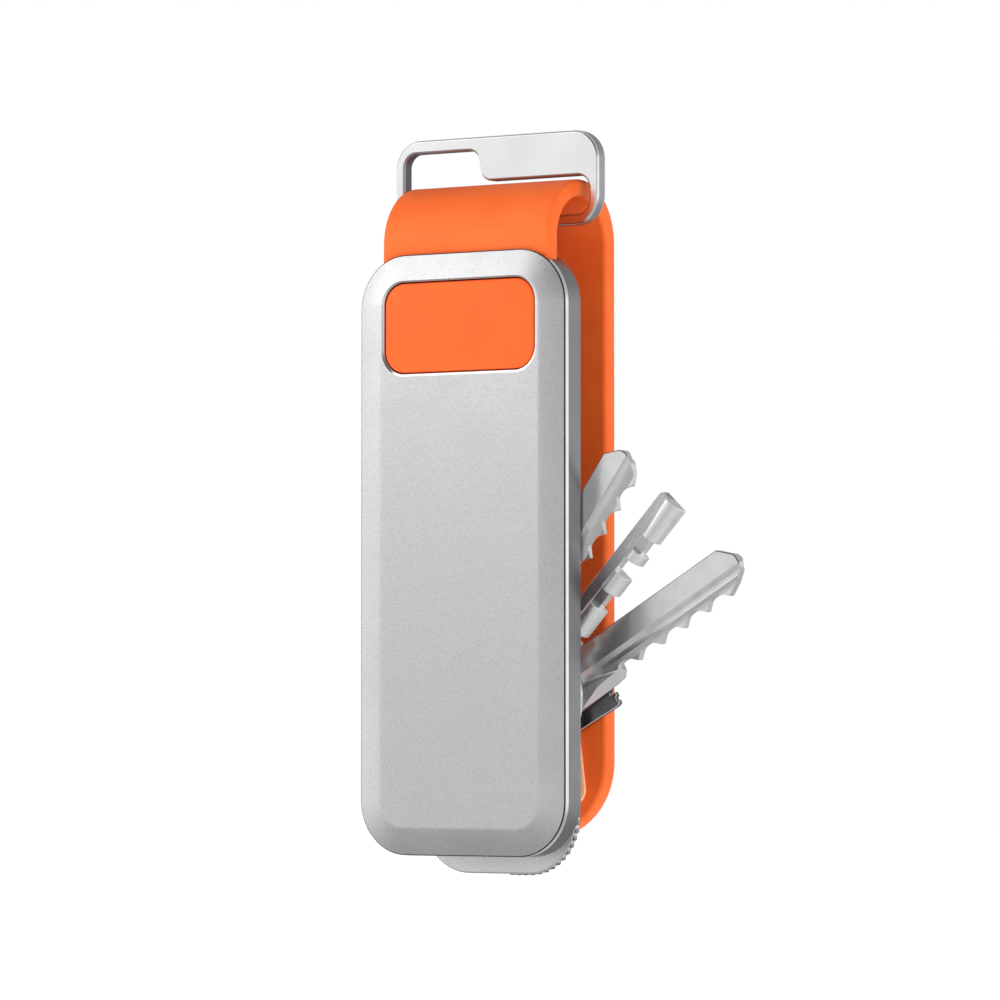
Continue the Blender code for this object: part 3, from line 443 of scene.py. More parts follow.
@dataclass(frozen=True)
class BlastedMetal:
    """Bead-blasted metal: fine pits that sparkle, and a slow change of tone.

    Grain and depth are in millimetres.
    """

    name: str
    dark: tuple[float, float, float]
    light: tuple[float, float, float]
    roughness: tuple[float, float]
    grain: float = 0.11
    depth: float = 0.006
    metallic: float = 1.0

    def make(self) -> bpy.types.Material:
        """The material."""
        recipe = Recipe(self.name, metallic=self.metallic, roughness=self.roughness[0])
        pits = recipe.noise(recipe.place, self.grain, 3.0)
        coarse = recipe.noise(recipe.place, self.grain * 3.4, 1.0)
        cloud = recipe.noise(recipe.place, 9.0, 2.0)
        recipe.link(recipe.colours(pits, [(0.3, self.dark), (0.62, self.light)]), "Base Color")
        recipe.link(recipe.spread(cloud, *self.roughness), "Roughness")
        soft = recipe.bump(coarse, self.depth * 1.5)
        recipe.link(recipe.bump(pits, self.depth, soft), "Normal")
        return recipe.material


@dataclass(frozen=True)
class BrushedMetal:
    """Metal with fine lines along a blade, light wear and a few scratches.

    Turn is the blade's angle about Y in radians; line is the lines' width in millimetres.
    """

    name: str
    dark: tuple[float, float, float]
    light: tuple[float, float, float]
    roughness: tuple[float, float]
    turn: float = 0.0
    line: float = 0.05
    depth: float = 0.0012
    length: float = 40.0
    metallic: float = 1.0

    def make(self) -> bpy.types.Material:
        """The material."""
        recipe = Recipe(self.name, metallic=self.metallic, roughness=self.roughness[0])
        along = recipe.mapped(self.turn, (1, 1, 1 / self.length))
        lines = recipe.noise(along, self.line, 2.0)
        wear = recipe.noise(recipe.place, 2.6, 4.0)
        cloud = recipe.noise(recipe.place, 6.5, 2.0)
        across = recipe.mapped(self.turn + 0.7, (1, 1, 1 / self.length))
        scratches = recipe.noise(across, self.line * 5, 0.0)
        recipe.link(recipe.colours(wear, [(0.32, self.dark), (0.55, self.light)]), "Base Color")
        recipe.link(recipe.spread(cloud, *self.roughness), "Roughness")
        fine = recipe.bump(lines, self.depth)
        deep = recipe.spread(scratches, 0.0, 1.0, 0.68, 0.76)
        recipe.link(recipe.bump(deep, -self.depth * 2.0, fine), "Normal")
        return recipe.material


@dataclass(frozen=True)
class TurnedMetal:
    """Metal with the rings that a lathe leaves round an axis along Y.

    Centre is in the row's frame, in metres; pitch and depth are in millimetres.
    """

    name: str
    colour: tuple[float, float, float]
    dark: tuple[float, float, float]
    roughness: tuple[float, float]
    centre: tuple[float, float, float] = (0.0, 0.0, 0.0)
    pitch: float = 0.16
    depth: float = 0.0014

    def make(self) -> bpy.types.Material:
        """The material."""
        recipe = Recipe(self.name, metallic=1.0, roughness=self.roughness[0])
        about = recipe.mapped(centre=self.centre)
        inputs = {"Vector": about, "Scale": 1 / (20 * self.pitch * MM), "Distortion": 0.4, "Detail": 1.0}
        rings = recipe.add("ShaderNodeTexWave", inputs, wave_type="RINGS", rings_direction="Y").outputs[1]
        cloud = recipe.noise(recipe.place, 1.7, 3.0)
        recipe.link(recipe.colours(cloud, [(0.35, self.dark), (0.6, self.colour)]), "Base Color")
        recipe.link(recipe.spread(cloud, *self.roughness), "Roughness")
        recipe.link(recipe.bump(rings, self.depth), "Normal")
        return recipe.material


@dataclass(frozen=True)
class Moulded:
    """Moulded silicone, rubber or nylon: fine grain and a slow change of tone.

    Grain and depth are in millimetres.
    """

    name: str
    dark: tuple[float, float, float]
    light: tuple[float, float, float]
    roughness: tuple[float, float]
    grain: float = 0.16
    depth: float = 0.003
    specular: float = 0.5

    def make(self) -> bpy.types.Material:
        """The material."""
        recipe = Recipe(self.name, metallic=0.0, roughness=self.roughness[0])
        recipe.set("Specular IOR Level", self.specular)
        cloud = recipe.noise(recipe.place, 7.0, 3.0)
        skin = recipe.noise(recipe.place, self.grain, 2.0)
        ripple = recipe.noise(recipe.place, 4.0, 1.0)
        recipe.link(recipe.colours(cloud, [(0.3, self.dark), (0.66, self.light)]), "Base Color")
        recipe.link(recipe.spread(skin, *self.roughness), "Roughness")
        wavy = recipe.bump(ripple, self.depth * 5)
        recipe.link(recipe.bump(skin, self.depth, wavy), "Normal")
        return recipe.material


BLASTED = BlastedMetal("blasted aluminium", (0.74, 0.74, 0.75), (0.91, 0.91, 0.92), (0.33, 0.41), 0.2, 0.009)
POLISHED = BrushedMetal("polished bevel", (0.86, 0.86, 0.87), (0.93, 0.93, 0.94), (0.12, 0.2))
SATIN = BlastedMetal("satin aluminium", (0.30, 0.305, 0.32), (0.38, 0.385, 0.40), (0.34, 0.42), 0.07, 0.003)
LOOP = BlastedMetal("loop metal", (0.69, 0.69, 0.70), (0.77, 0.77, 0.78), (0.3, 0.36), 0.06, 0.0012)
# Darker copies of the loop metal for its sides and the walls of its opening: painted shade.
LOOP_SIDE_PAINTED_SHADE = BlastedMetal("loop side painted shade", (0.46, 0.465, 0.48), (0.58, 0.585, 0.60), (0.4, 0.5), 0.06, 0.0012)
LOOP_WALL_PAINTED_SHADE = BlastedMetal("loop wall painted shade", (0.15, 0.155, 0.165), (0.21, 0.215, 0.225), (0.45, 0.55), 0.06, 0.0012)
TOOL = BlastedMetal("tool steel", (0.70, 0.705, 0.72), (0.98, 0.98, 0.98), (0.34, 0.42), 0.22, 0.02, 0.8)
RIDGES = BrushedMetal("knurled steel", (0.30, 0.31, 0.32), (0.55, 0.56, 0.57), (0.26, 0.36))
RUBBER = Moulded("black rubber", (0.010, 0.010, 0.011), (0.020, 0.020, 0.022), (0.5, 0.62))
# A dark copy of the keys' steel for their rounded rims: painted shade.
KEY_RIM_PAINTED_SHADE = BrushedMetal("key rim painted shade", (0.20, 0.20, 0.21), (0.30, 0.30, 0.31), (0.3, 0.4))
NYLON = Moulded("black nylon", (0.016, 0.016, 0.017), (0.030, 0.030, 0.032), (0.42, 0.55), 0.1)
SILICONE = Moulded(
    "orange silicone", (0.86, 0.132, 0.018), (0.92, 0.152, 0.024), (0.44, 0.52), 0.14, 0.0016, specular=0.25
)
PAD = Moulded("orange button", (0.86, 0.105, 0.010), (0.92, 0.122, 0.014), (0.46, 0.54), 0.09, 0.002, 0.3)
# Light peach tint for the wear pad, standing for a lit edge: painted highlight.
PEACH_PAINTED_HIGHLIGHT = Moulded("peach nylon painted highlight", (0.92, 0.50, 0.27), (0.96, 0.56, 0.32), (0.42, 0.5), 0.12, 0.002)
FASTENER = BrushedMetal("fastener steel", (0.40, 0.40, 0.41), (0.58, 0.58, 0.59), (0.24, 0.34))
SPRING = BrushedMetal("rolled spring steel", (0.42, 0.43, 0.45), (0.56, 0.57, 0.59), (0.24, 0.34), pi / 2)


# Placing and dressing

def faces_front(normal: Vector) -> bool:
    """Whether a face looks straight to the front or the back."""
    return abs(normal.y) > 0.9995


def spans_width(normal: Vector) -> bool:
    """Whether a face of the strap runs across its full width."""
    return abs(normal.x) < 0.01


def crisp_borders(mesh: bpy.types.Mesh, flat: Callable[[Vector], bool]) -> None:
    """Mark the borders between flats and the faces round them as sharp."""
    shape = bmesh.new()
    shape.from_mesh(mesh)
    shape.normal_update()
    for edge in shape.edges:
        kinds = {flat(face.normal) for face in edge.link_faces}
        edge.smooth = len(kinds) == 1
    shape.to_mesh(mesh)
    shape.free()


@dataclass
class Shop:
    """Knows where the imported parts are, and puts each finished shape among them."""

    origin: Vector = field(init=False)
    place: Matrix = field(init=False)
    pivot: float = field(init=False)
    body_of: dict[str, str] = field(init=False)
    slot_of: dict[str, str] = field(init=False)
    made: dict[str, bpy.types.Material] = field(default_factory=dict)

    def __post_init__(self) -> None:
        """Read the frame: the origin, the post's height, and each node's body and slot."""
        record = frame["record"]
        tray_low, tray_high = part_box("housing_frame")
        cover_low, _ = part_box("front_cover")
        self.origin = Vector(((tray_low.x + tray_high.x) / 2, cover_low.y, tray_low.z))
        self.place = Matrix.Translation(self.origin) @ Matrix.Scale(MM, 4)
        self.pivot = self.middle("pivot_post").z
        self.body_of = {node: body for body, nodes in record["behaviour"]["bodies"].items() for node in nodes}
        self.slot_of = {part["node"]: part["material_slot"] for part in record["subparts"]}

    def low(self, node: str) -> Vector:
        """A node's lowest corner, in millimetres in the organiser's own frame."""
        return (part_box(node)[0] - self.origin) / MM

    def high(self, node: str) -> Vector:
        """A node's highest corner, in millimetres in the organiser's own frame."""
        return (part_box(node)[1] - self.origin) / MM

    def box(self, node: str) -> tuple[Vector, Vector]:
        """A node's lowest and highest corners."""
        return self.low(node), self.high(node)

    def middle(self, node: str) -> Vector:
        """A node's middle, in millimetres in the organiser's own frame."""
        return (self.low(node) + self.high(node)) / 2

    def material(self, finish: BlastedMetal | BrushedMetal | TurnedMetal | Moulded) -> bpy.types.Material:
        """The finish's material, made once."""
        if finish.name not in self.made:
            self.made[finish.name] = finish.make()
        return self.made[finish.name]

    def keep(
        self,
        piece: Piece,
        nodes: Sequence[str],
        finishes: Sequence[object],
        turn: Matrix | None = None,
        smooth: float = SMOOTH_ANGLE,
        flat: Callable[[Vector], bool] = faces_front,
    ) -> None:
        """Move a shape to the row's frame, dress it, and let it stand for its nodes.

        Args:
            piece: the shape, in millimetres.
            nodes: the CAD nodes that it stands for, all on one body.
            finishes: a finish for each material index.
            turn: where the shape lies in the organiser's frame, if it was made in its own.
            smooth: the largest angle between faces that shade as one.
            flat: tells by a face's normal whether it belongs to a flat whose border stays crisp.
        """
        crisp_borders(piece.data, flat)
        piece.data.transform(self.place @ (turn or Matrix.Identity(4)))
        indices = [face.material_index for face in piece.data.polygons]
        piece.data.materials.clear()
        for finish in finishes:
            piece.data.materials.append(self.material(finish))
        piece.data.polygons.foreach_set("material_index", indices)
        borders = [edge.index for edge in piece.data.edges if edge.use_edge_sharp]
        piece.data.shade_smooth()
        piece.data.set_sharp_from_angle(angle=smooth)
        for index in borders:
            piece.data.edges[index].use_edge_sharp = True
        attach(piece, self.body_of[nodes[0]])
        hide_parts(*nodes)
        LOG.info("%s stands for %s: %d faces", piece.name, ", ".join(nodes), len(piece.data.polygons))

    def turned(self, angle: float) -> Matrix:
        """Where a blade lies: turned about the post by angle, in degrees."""
        return Matrix.Translation((0, 0, self.pivot)) @ Matrix.Rotation(radians(angle), 4, "Y")

    def dress(self, node: str, finish: object) -> None:
        """Give a CAD node that stays its finish."""
        shown = frame["nodes"][node]
        shown.data.materials.clear()
        shown.data.materials.append(self.material(finish))
        LOG.info("%s keeps its shape, in %s", node, finish.name)


@dataclass
class Copies:
    """Copies of one piece on a mesh's points, each with its own turn about Y."""

    name: str = "copies_on_points"
    seed: int = 7
    largest_turn: float = 2 * pi

    def tree(self) -> GeometryTree:
        """Build the tree."""
        inputs = {"Piece": "Object", "Largest Turn": "Float", "Seed": "Int"}
        tree = GeometryTree(self.name, inputs)
        given = tree.given
        piece = tree.add("GeometryNodeObjectInfo", {"Object": given["Piece"]})
        limits = {3: given["Largest Turn"], "Seed": given["Seed"]}
        turn = tree.add("FunctionNodeRandomValue", limits, data_type="FLOAT")
        angle = tree.add("ShaderNodeCombineXYZ", {"Y": turn.outputs[1]})
        tree.close(given["Geometry"], piece.outputs["Geometry"], angle.outputs[0])
        return tree

    def make(self, name: str, piece: Piece, places: Sequence[Vector], finish: bpy.types.Material) -> Piece:
        """Copies of the piece at the places, as one plain mesh.

        Args:
            name: the new object's name.
            piece: what is copied; it is removed afterwards.
            places: a point for each copy.
            finish: the copies' material.

        Returns:
            The new object.
        """
        shape = bmesh.new()
        for place in places:
            shape.verts.new(place)
        base = as_object(name, shape)
        values = {"Piece": piece, "Largest Turn": self.largest_turn, "Seed": self.seed, "Finish": finish}
        self.tree().run(base, values)
        bpy.data.objects.remove(piece)
        return base


@dataclass
class Ridges:
    """Round ridges along a line, their axes along Y."""

    pitch: float
    radius: float
    length: float
    sides: int = 20

    def tree(self) -> GeometryTree:
        """Build the tree."""
        inputs = {"Pitch": "Float", "Radius": "Float", "Length": "Float", "Sides": "Int"}
        tree = GeometryTree("ridges_on_line", inputs)
        given = tree.given
        path = tree.add("GeometryNodeMeshToCurve", {0: given["Geometry"]})
        spacing = {"Curve": path.outputs[0], "Length": given["Pitch"]}
        spaced = tree.add("GeometryNodeResampleCurve", spacing, mode="LENGTH")
        sizes = {"Vertices": given["Sides"], "Radius": given["Radius"], "Depth": given["Length"]}
        bar = tree.add("GeometryNodeMeshCylinder", sizes)
        tree.close(spaced.outputs[0], bar.outputs["Mesh"], (pi / 2, 0, 0))
        return tree

    def make(self, name: str, line: Sequence[Vector], finish: bpy.types.Material) -> Piece:
        """Ridges along the line, as one plain mesh.

        Args:
            name: the new object's name.
            line: the points of the line, in order.
            finish: the ridges' material.

        Returns:
            The new object.
        """
        shape = bmesh.new()
        points = [shape.verts.new(point) for point in line]
        for start, end in zip(points, points[1:]):
            shape.edges.new((start, end))
        values = {"Pitch": self.pitch, "Radius": self.radius, "Length": self.length, "Sides": self.sides}
        return self.tree().run(as_object(name, shape), {**values, "Finish": finish})


# Sub-assemblies

@dataclass
class Housing:
    """Front cover, gasket, tray and the screws that hold them together. Sizes in millimetres."""

    shop: Shop
    corner: float = 8.0
    cover_inset: float = 0.05
    chamfer: float = 4.0
    chamfer_depth: float = 0.9
    crease: float = 0.3
    cover_lip: float = 1.2
    flange: float = 0.8
    window_corner: float = 3.3
    window_gap: float = 0.2
    window_bevel: float = 0.36
    window_bevel_depth: float = 0.12
    gasket_width: float = 1.3
    wall: float = 2.0
    rim_bevel: float = 0.34
    rim_bevel_depth: float = 0.4
    back_edge: float = 0.35
    slot_side: float = 0.2
    screw_head: float = 1.5
    screw_margin: float = 5.5

    def outline(self, inset: float) -> Outline:
        """The housing's outline, moved inwards."""
        width = self.shop.high("housing_frame").x * 2
        height = self.shop.high("housing_frame").z
        return rounded_rectangle(width - 2 * inset, height - 2 * inset, self.corner - inset, height / 2)

    def shell(self, name: str, profile: Sequence[Point], **options: object) -> Piece:
        """The housing's outline carried through (inset, y) points."""
        return loft(name, [ring(self.outline(inset), y) for inset, y in profile], **options)

    def window(self, reach: float) -> Outline:
        """The button's outline, moved outwards; the flange is the node's widest part."""
        low = self.shop.low("release_button") + Vector((self.flange, 0, self.flange))
        high = self.shop.high("release_button") - Vector((self.flange, 0, self.flange))
        width = high.x - low.x + 2 * reach
        height = high.z - low.z + 2 * reach
        return rounded_rectangle(width, height, self.window_corner + reach, (low.z + high.z) / 2)

    def cover(self) -> None:
        """Blasted plate with a wide chamfer, a polished bevel round the window and a lip behind."""
        back = self.shop.low("cover_gasket").y - 0.05
        lip_back = back + 0.8
        slope = self.chamfer_depth / self.chamfer
        edge = self.cover_inset + self.chamfer
        profile = []
        for step in range(5):
            run = self.crease * (step / 2 - 1)
            profile.append((edge - run, slope * (run + self.crease) ** 2 / (4 * self.crease)))
        outer = self.cover_inset
        profile += [
            (outer + 0.14, slope * (self.chamfer - 0.14)),
            (outer + 0.05, self.chamfer_depth + 0.005),
            (outer, self.chamfer_depth + 0.06),
            (outer, back),
            (self.wall + 0.2, back),
            (self.wall + 0.2, lip_back),
            (self.wall + 0.2 + self.cover_lip, lip_back),
            (self.wall + 0.2 + self.cover_lip, back),
        ]
        cover = self.shell("cover_plate", profile, bands={5: 2, 6: 2, 7: 2})
        middle = self.shop.low("release_button").z + 7.35
        width = self.shop.high("housing_frame").x
        top = self.shop.high("housing_frame").z
        carve(cover, block("lip_opening", (-width, back, middle), (width, lip_back + 1, top)))
        reach = self.window_gap
        slant = self.window_bevel_depth
        rings = [
            ring(self.window(reach + self.window_bevel * 2), -slant),
            ring(self.window(reach + 0.03), slant * 0.92),
            ring(self.window(reach), slant * 1.2),
            ring(self.window(reach), back + 1),
        ]
        carve(cover, loft("window_cut", rings, bands={0: 1, 1: 1}))
        self.shop.keep(cover, ["front_cover"], [BLASTED, POLISHED, RUBBER], smooth=radians(10))

    def gasket(self) -> None:
        """Rubber line between the cover and the tray."""
        front = self.shop.low("cover_gasket").y
        back = self.shop.high("cover_gasket").y
        inset = self.shop.high("housing_frame").x - self.shop.high("cover_gasket").x
        inner = inset + self.gasket_width
        soft = 0.03
        profile = [(inset, front + soft), (inset, back - soft), (inset + soft, back)]
        profile += [(inner, back), (inner, front), (inset + soft, front)]
        gasket = self.shell("gasket_line", profile, closed=True)
        self.shop.keep(gasket, ["cover_gasket"], [RUBBER])

    def tray(self) -> None:
        """Satin tray with a polished bevel on its rim, the strap's slot and the screws' seats."""
        front = self.shop.low("housing_frame").y
        back = self.shop.high("housing_frame").y
        floor = back - 0.8
        bevel = self.rim_bevel
        edge = self.back_edge
        profile = [
            (self.wall, floor),
            (self.wall, front),
            (bevel, front),
            (bevel - 0.05, front + 0.02),
            (0.03, front + self.rim_bevel_depth - 0.04),
            (0, front + self.rim_bevel_depth),
            (0, back - edge),
            (edge * 0.13, back - edge * 0.5),
            (edge * 0.5, back - edge * 0.13),
            (edge, back),
        ]
        tray = self.shell("housing_tray", profile, bands={2: 1, 3: 1, 4: 1})
        strap_side = self.shop.high("strap").x + self.slot_side
        top = self.shop.high("housing_frame").z
        carve(tray, block("strap_slot", (-strap_side, 0, top - self.corner), (strap_side, floor, top + 1)))
        carve(tray, pin("post_hole", HOLE, front, back + 1, 0, self.shop.pivot))
        for place in self.screw_places():
            carve(tray, pin("screw_hole", 0.8, front, back + 1, place.x, place.z))
            carve(tray, pin("screw_seat", self.screw_head + 0.1, back - 0.5, back + 1, place.x, place.z))
        self.shop.keep(tray, ["housing_frame"], [SATIN, POLISHED])

    def screw_places(self) -> list[Vector]:
        """The centres of the four cover screws."""
        names = [f"cover_screw_{number}" for number in range(1, 5)]
        return [self.shop.middle(name) for name in names]

    def screws(self) -> None:
        """Four flat-headed screws with a six-sided socket."""
        head = self.screw_head
        half = (self.shop.high("cover_screw_1").y - self.shop.low("cover_screw_1").y) / 2
        under = half - 0.45
        profile = [(head - 0.12, half), (head, half - 0.1), (head, under)]
        profile += [(0.7, under), (0.7, -half + 0.2), (0.5, -half)]
        screw = turned("cover_screw_shape", profile)
        carve(screw, loft("socket", [ring(circle(0.72, steps=6), y) for y in (half - 0.35, half + 1)]))
        screws = Copies().make("cover_screws", screw, self.screw_places(), self.shop.material(FASTENER))
        self.shop.keep(screws, [f"cover_screw_{number}" for number in range(1, 5)], [FASTENER])

    def build(self) -> None:
        """Make and dress the housing."""
        self.cover()
        self.gasket()
        self.tray()
        self.screws()


@dataclass
class Release:
    """The orange button and the latch behind it. Sizes in millimetres."""

    shop: Shop
    housing: Housing
    skin: float = 1.0
    hollow_wall: float = 1.2

    def button(self) -> None:
        """Soft pad with a rounded rim, a flange behind the cover and a hollow back."""
        front = self.shop.low("release_button").y
        back = self.shop.high("release_button").y
        flange_front = back - 0.4
        profile = [
            (-0.6, front),
            (-0.32, front + 0.015),
            (-0.16, front + 0.06),
            (-0.05, front + 0.15),
            (0, front + 0.3),
            (0, flange_front),
            (self.housing.flange, flange_front),
            (self.housing.flange, back),
            (-self.hollow_wall, back),
            (-self.hollow_wall, self.skin),
        ]
        pad = loft("button_pad", [ring(self.housing.window(reach), y) for reach, y in profile])
        self.shop.keep(pad, ["release_button"], [PAD])

    def spring(self) -> None:
        """Leaf spring behind the button, from its node's mesh; on the real latch it flattens against the frame
        as the button goes in.
        """
        node = frame["nodes"]["latch_spring"]
        shape = bmesh.new()
        shape.from_mesh(node.data)
        shape.transform(self.shop.place.inverted() @ node.matrix_world)
        bmesh.ops.remove_doubles(shape, verts=shape.verts, dist=WELD)
        leaf = as_object("leaf_spring", shape)
        self.shop.keep(leaf, ["latch_spring"], [SPRING])
        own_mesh(leaf)

    def build(self) -> None:
        """Make the button and the spring, and dress the latch."""
        self.button()
        self.spring()
        self.shop.dress("button_guide", NYLON)
        self.shop.dress("latch_carrier", SPRING)


@dataclass
class Strap:
    """Silicone strap, its steel end with rivets, and the wear pad. Sizes in millimetres."""

    shop: Shop
    thickness: float = 2.6
    edge: float = 0.62
    end_corner: float = 11.3
    step_drop: float = 2.0
    end_height: float = 80.2
    end_thickness: float = 0.9
    bend_steps: int = 40
    recess: float = 6.2
    recess_depth: float = 0.8

    def bend(self, piece: Piece, centre: Vector, radius: float, turn_start: float) -> None:
        """Wrap a flat strip about a line along X.

        The strip lies flat with Z along its length. Below turn_start it becomes the front leg, then the arc,
        and past the arc the back leg, upside down.

        Args:
            piece: the strip, with Y from its outer face inwards.
            centre: the bend's centre, in Y and Z.
            radius: the outer face's radius.
            turn_start: the strip's Z where the bend starts.
        """
        length = pi * (radius - self.thickness / 2)
        shape = bmesh.new()
        shape.from_mesh(piece.data)
        for step in range(self.bend_steps + 1):
            where = turn_start + length * step / self.bend_steps
            parts = shape.verts[:] + shape.edges[:] + shape.faces[:]
            bmesh.ops.bisect_plane(shape, geom=parts, plane_co=(0, 0, where), plane_no=(0, 0, 1))
        for vert in shape.verts:
            along = vert.co.z - turn_start
            depth = radius - vert.co.y
            turn = min(max(along / length, 0), 1) * pi
            extra = min(along, 0) if along < 0 else -max(along - length, 0)
            vert.co.y = centre.y - depth * cos(turn)
            vert.co.z = centre.z + depth * sin(turn) + extra
        bmesh.ops.recalc_face_normals(shape, faces=shape.faces)
        shape.to_mesh(piece.data)
        shape.free()

    def strap(self) -> None:
        """One strip with rounded edges from the housing over the loop and down to its round end."""
        low, high = self.shop.box("strap")
        radius = (high.y - low.y) / 2
        centre = Vector((0, (high.y + low.y) / 2, high.z - radius))
        top = self.shop.high("housing_frame").z
        start = top - self.step_drop
        arc = pi * (radius - self.thickness / 2)
        end = centre.z + arc + (centre.z - low.z)
        side = high.x
        corner = self.end_corner
        outline = rounded([(-side, start, 0), (side, start, 0), (side, end, corner), (-side, end, corner)])
        strip = plate("silicone_strap", [outline], 0, self.thickness, self.edge)
        self.bend(strip, centre, radius, centre.z)
        tongue_back = self.shop.high("strap_tongue").y + 0.1
        end_low = (-side + 0.1, tongue_back, self.end_height)
        end_high = (side - 0.1, tongue_back + self.end_thickness, start + 1)
        carve(strip, block("strap_end", end_low, end_high), Join.ADD)
        carve(strip, pin("strap_hole", HOLE, centre.y, high.y + 1, 0, self.shop.pivot))
        floor = high.y - self.recess_depth
        carve(strip, pin("cup_recess", self.recess, floor, high.y + 1, 0, self.shop.pivot))
        self.shop.keep(strip, ["strap"], [SILICONE], flat=spans_width)

    def pad(self) -> None:
        """Wear pad with softened edges, in a light peach tint that paints a highlight."""
        low, high = self.shop.box("strap_pad")
        side = high.x
        corners = [(-side, low.z, 2.2), (side + 0.5, low.z, 2.2), (9.2, high.z, 6), (-9.2, high.z, 6)]
        pad = plate("wear_pad", [rounded(corners), circle(HOLE, 0, self.shop.pivot)], low.y, high.y, 0.12)
        self.shop.keep(pad, ["strap_pad"], [PEACH_PAINTED_HIGHLIGHT])

    def build(self) -> None:
        """Make the strap and the pad, and dress the steel end."""
        self.strap()
        self.pad()
        self.shop.dress("strap_tongue", SPRING)
        for number in range(1, 4):
            self.shop.dress(f"tongue_rivet_{number}", FASTENER)


@dataclass
class HangingLoop:
    """Flat loop with a stepped opening. Sizes in millimetres."""

    shop: Shop
    corner: float = 4.3
    inner_corner: float = 2.0
    side_bar: float = 1.6
    bottom_bar: float = 1.6
    top_bar: float = 1.95
    thick_bar: float = 6.6
    step_top: float = -3.25
    step_run: float = 0.75
    step_corner: float = 1.9
    edge: float = 0.32

    def build(self) -> None:
        """Make the loop with its bright edges, and painted shade on its sides, inner bevels and the opening's
        walls.
        """
        low = self.shop.low("hanger_loop") + Vector((-0.25, 0.4, 0))
        high = self.shop.high("hanger_loop") + Vector((0.25, 0, 0))
        outer = rounded_rectangle(high.x - low.x, high.z - low.z, self.corner, (high.z + low.z) / 2)
        left = low.x + self.side_bar
        floor = low.z + self.bottom_bar
        under = high.z - self.thick_bar
        roof = high.z - self.top_bar
        opening = rounded(
            [
                (left, floor, self.inner_corner),
                (-left, floor, self.inner_corner),
                (-left, under, self.inner_corner),
                (self.step_top + self.step_run, under, self.step_corner),
                (self.step_top, roof, self.step_corner),
                (left, roof, self.inner_corner),
            ]
        )
        loop = plate("loop_bar", [outer, opening], low.y, high.y, self.edge)
        middle = (floor + roof) / 2
        # Flats take the loop metal and outer bevels the polished finish; outer sides and inner bevels take a
        # darker copy and the opening's walls a much darker one, all painted shade.
        for face in loop.data.polygons:
            flatness = abs(face.normal.y)
            inside = face.center.x * face.normal.x + (face.center.z - middle) * face.normal.z < 0
            bevel = 2 if inside else 1
            face.material_index = 0 if flatness > 0.98 else bevel if flatness > 0.1 else 3 if inside else 2
        self.shop.keep(loop, ["hanger_loop"], [LOOP, POLISHED, LOOP_SIDE_PAINTED_SHADE, LOOP_WALL_PAINTED_SHADE])


@dataclass
class Post:
    """The post with its screw, dished washer and the thin washers between the blades."""

    shop: Shop
    radius: float = 2.5
    bore: float = 1.6
    bore_depth: float = 10.6
    slot: float = 1.1
    slot_depth: float = 0.55
    edge: float = 0.12

    def keep(self, piece: Piece, node: str) -> None:
        """Let a turned piece stand for its node, in steel with lathe rings about the post's axis."""
        middle = self.shop.origin + self.shop.middle("pivot_screw") * MM
        tones = (0.62, 0.62, 0.63), (0.46, 0.46, 0.47)
        finish = TurnedMetal("turned steel", *tones, (0.2, 0.3), tuple(middle))
        self.shop.keep(piece, [node], [finish], Matrix.Translation((0, 0, self.shop.middle(node).z)))

    def screw(self) -> None:
        """Low-headed slotted screw."""
        low, high = self.shop.box("pivot_screw")
        radius = high.x
        head = high.y - 1.1
        profile = [
            (radius - 1.3, high.y),
            (radius - 0.7, high.y - 0.05),
            (radius - 0.25, high.y - 0.22),
            (radius - 0.05, high.y - 0.42),
            (radius, high.y - 0.62),
            (radius, head),
            (1.5, head),
            (1.5, low.y + 0.4),
            (1.1, low.y),
        ]
        screw = turned("slotted_screw", profile)
        reach = 2 * radius
        slot_low = (-reach, high.y - self.slot_depth, -self.slot / 2)
        carve(screw, block("slot", slot_low, (reach, high.y + 1, self.slot / 2)))
        self.keep(screw, "pivot_screw")

    def cup(self) -> None:
        """Dished washer under the screw's head."""
        low, high = self.shop.box("cup_washer")
        radius = high.x
        profile = [(self.bore, low.y), (radius - 0.1, low.y), (radius, low.y + 0.1)]
        profile += [(radius, high.y - 0.15), (radius - 0.15, high.y), (self.bore, high.y)]
        cup = turned("dished_washer", profile, Bar.BORED)
        self.keep(cup, "cup_washer")

    def barrel(self) -> None:
        """Smooth barrel with a flange inside the housing."""
        low, high = self.shop.box("pivot_post")
        flange = high.x
        profile = [
            (flange - self.edge, low.y),
            (flange, low.y + self.edge),
            (flange, low.y + 0.8),
            (self.radius, low.y + 0.8),
            (self.radius, high.y - self.edge),
            (self.radius - self.edge, high.y),
            (self.bore, high.y),
            (self.bore, high.y - self.bore_depth),
        ]
        post = turned("post_barrel", profile)
        self.keep(post, "pivot_post")

    def washers(self) -> None:
        """Six thin washers, one behind each blade."""
        names = [f"key_washer_{number}" for number in range(1, 7)]
        radius = self.shop.high(names[0]).x
        half = (self.shop.high(names[0]).y - self.shop.low(names[0]).y) / 2
        soft = 0.04
        profile = [(HOLE, -half), (radius - soft, -half), (radius, -half + soft)]
        profile += [(radius, half - soft), (radius - soft, half), (HOLE, half)]
        washer = turned("key_washer_shape", profile, Bar.BORED)
        places = [self.shop.middle(name) for name in names]
        washers = Copies().make("thin_washers", washer, places, self.shop.material(SPRING))
        self.shop.keep(washers, names, [SPRING])

    def build(self) -> None:
        """Make and dress everything on the post but the blades."""
        self.screw()
        self.cup()
        self.barrel()
        self.washers()


def bow(radius: float, centre: float, cut_side: float, back_side: float) -> Outline:
    """The round end of a key, from the neck's cut side round to its back."""
    start = acos(cut_side / radius)
    end = acos(back_side / radius) - 2 * pi
    steps = ROUND_STEPS // 2
    turns = [start + (end - start) * index / steps for index in range(steps + 1)]
    return [(radius * cos(turn), centre + radius * sin(turn)) for turn in turns]


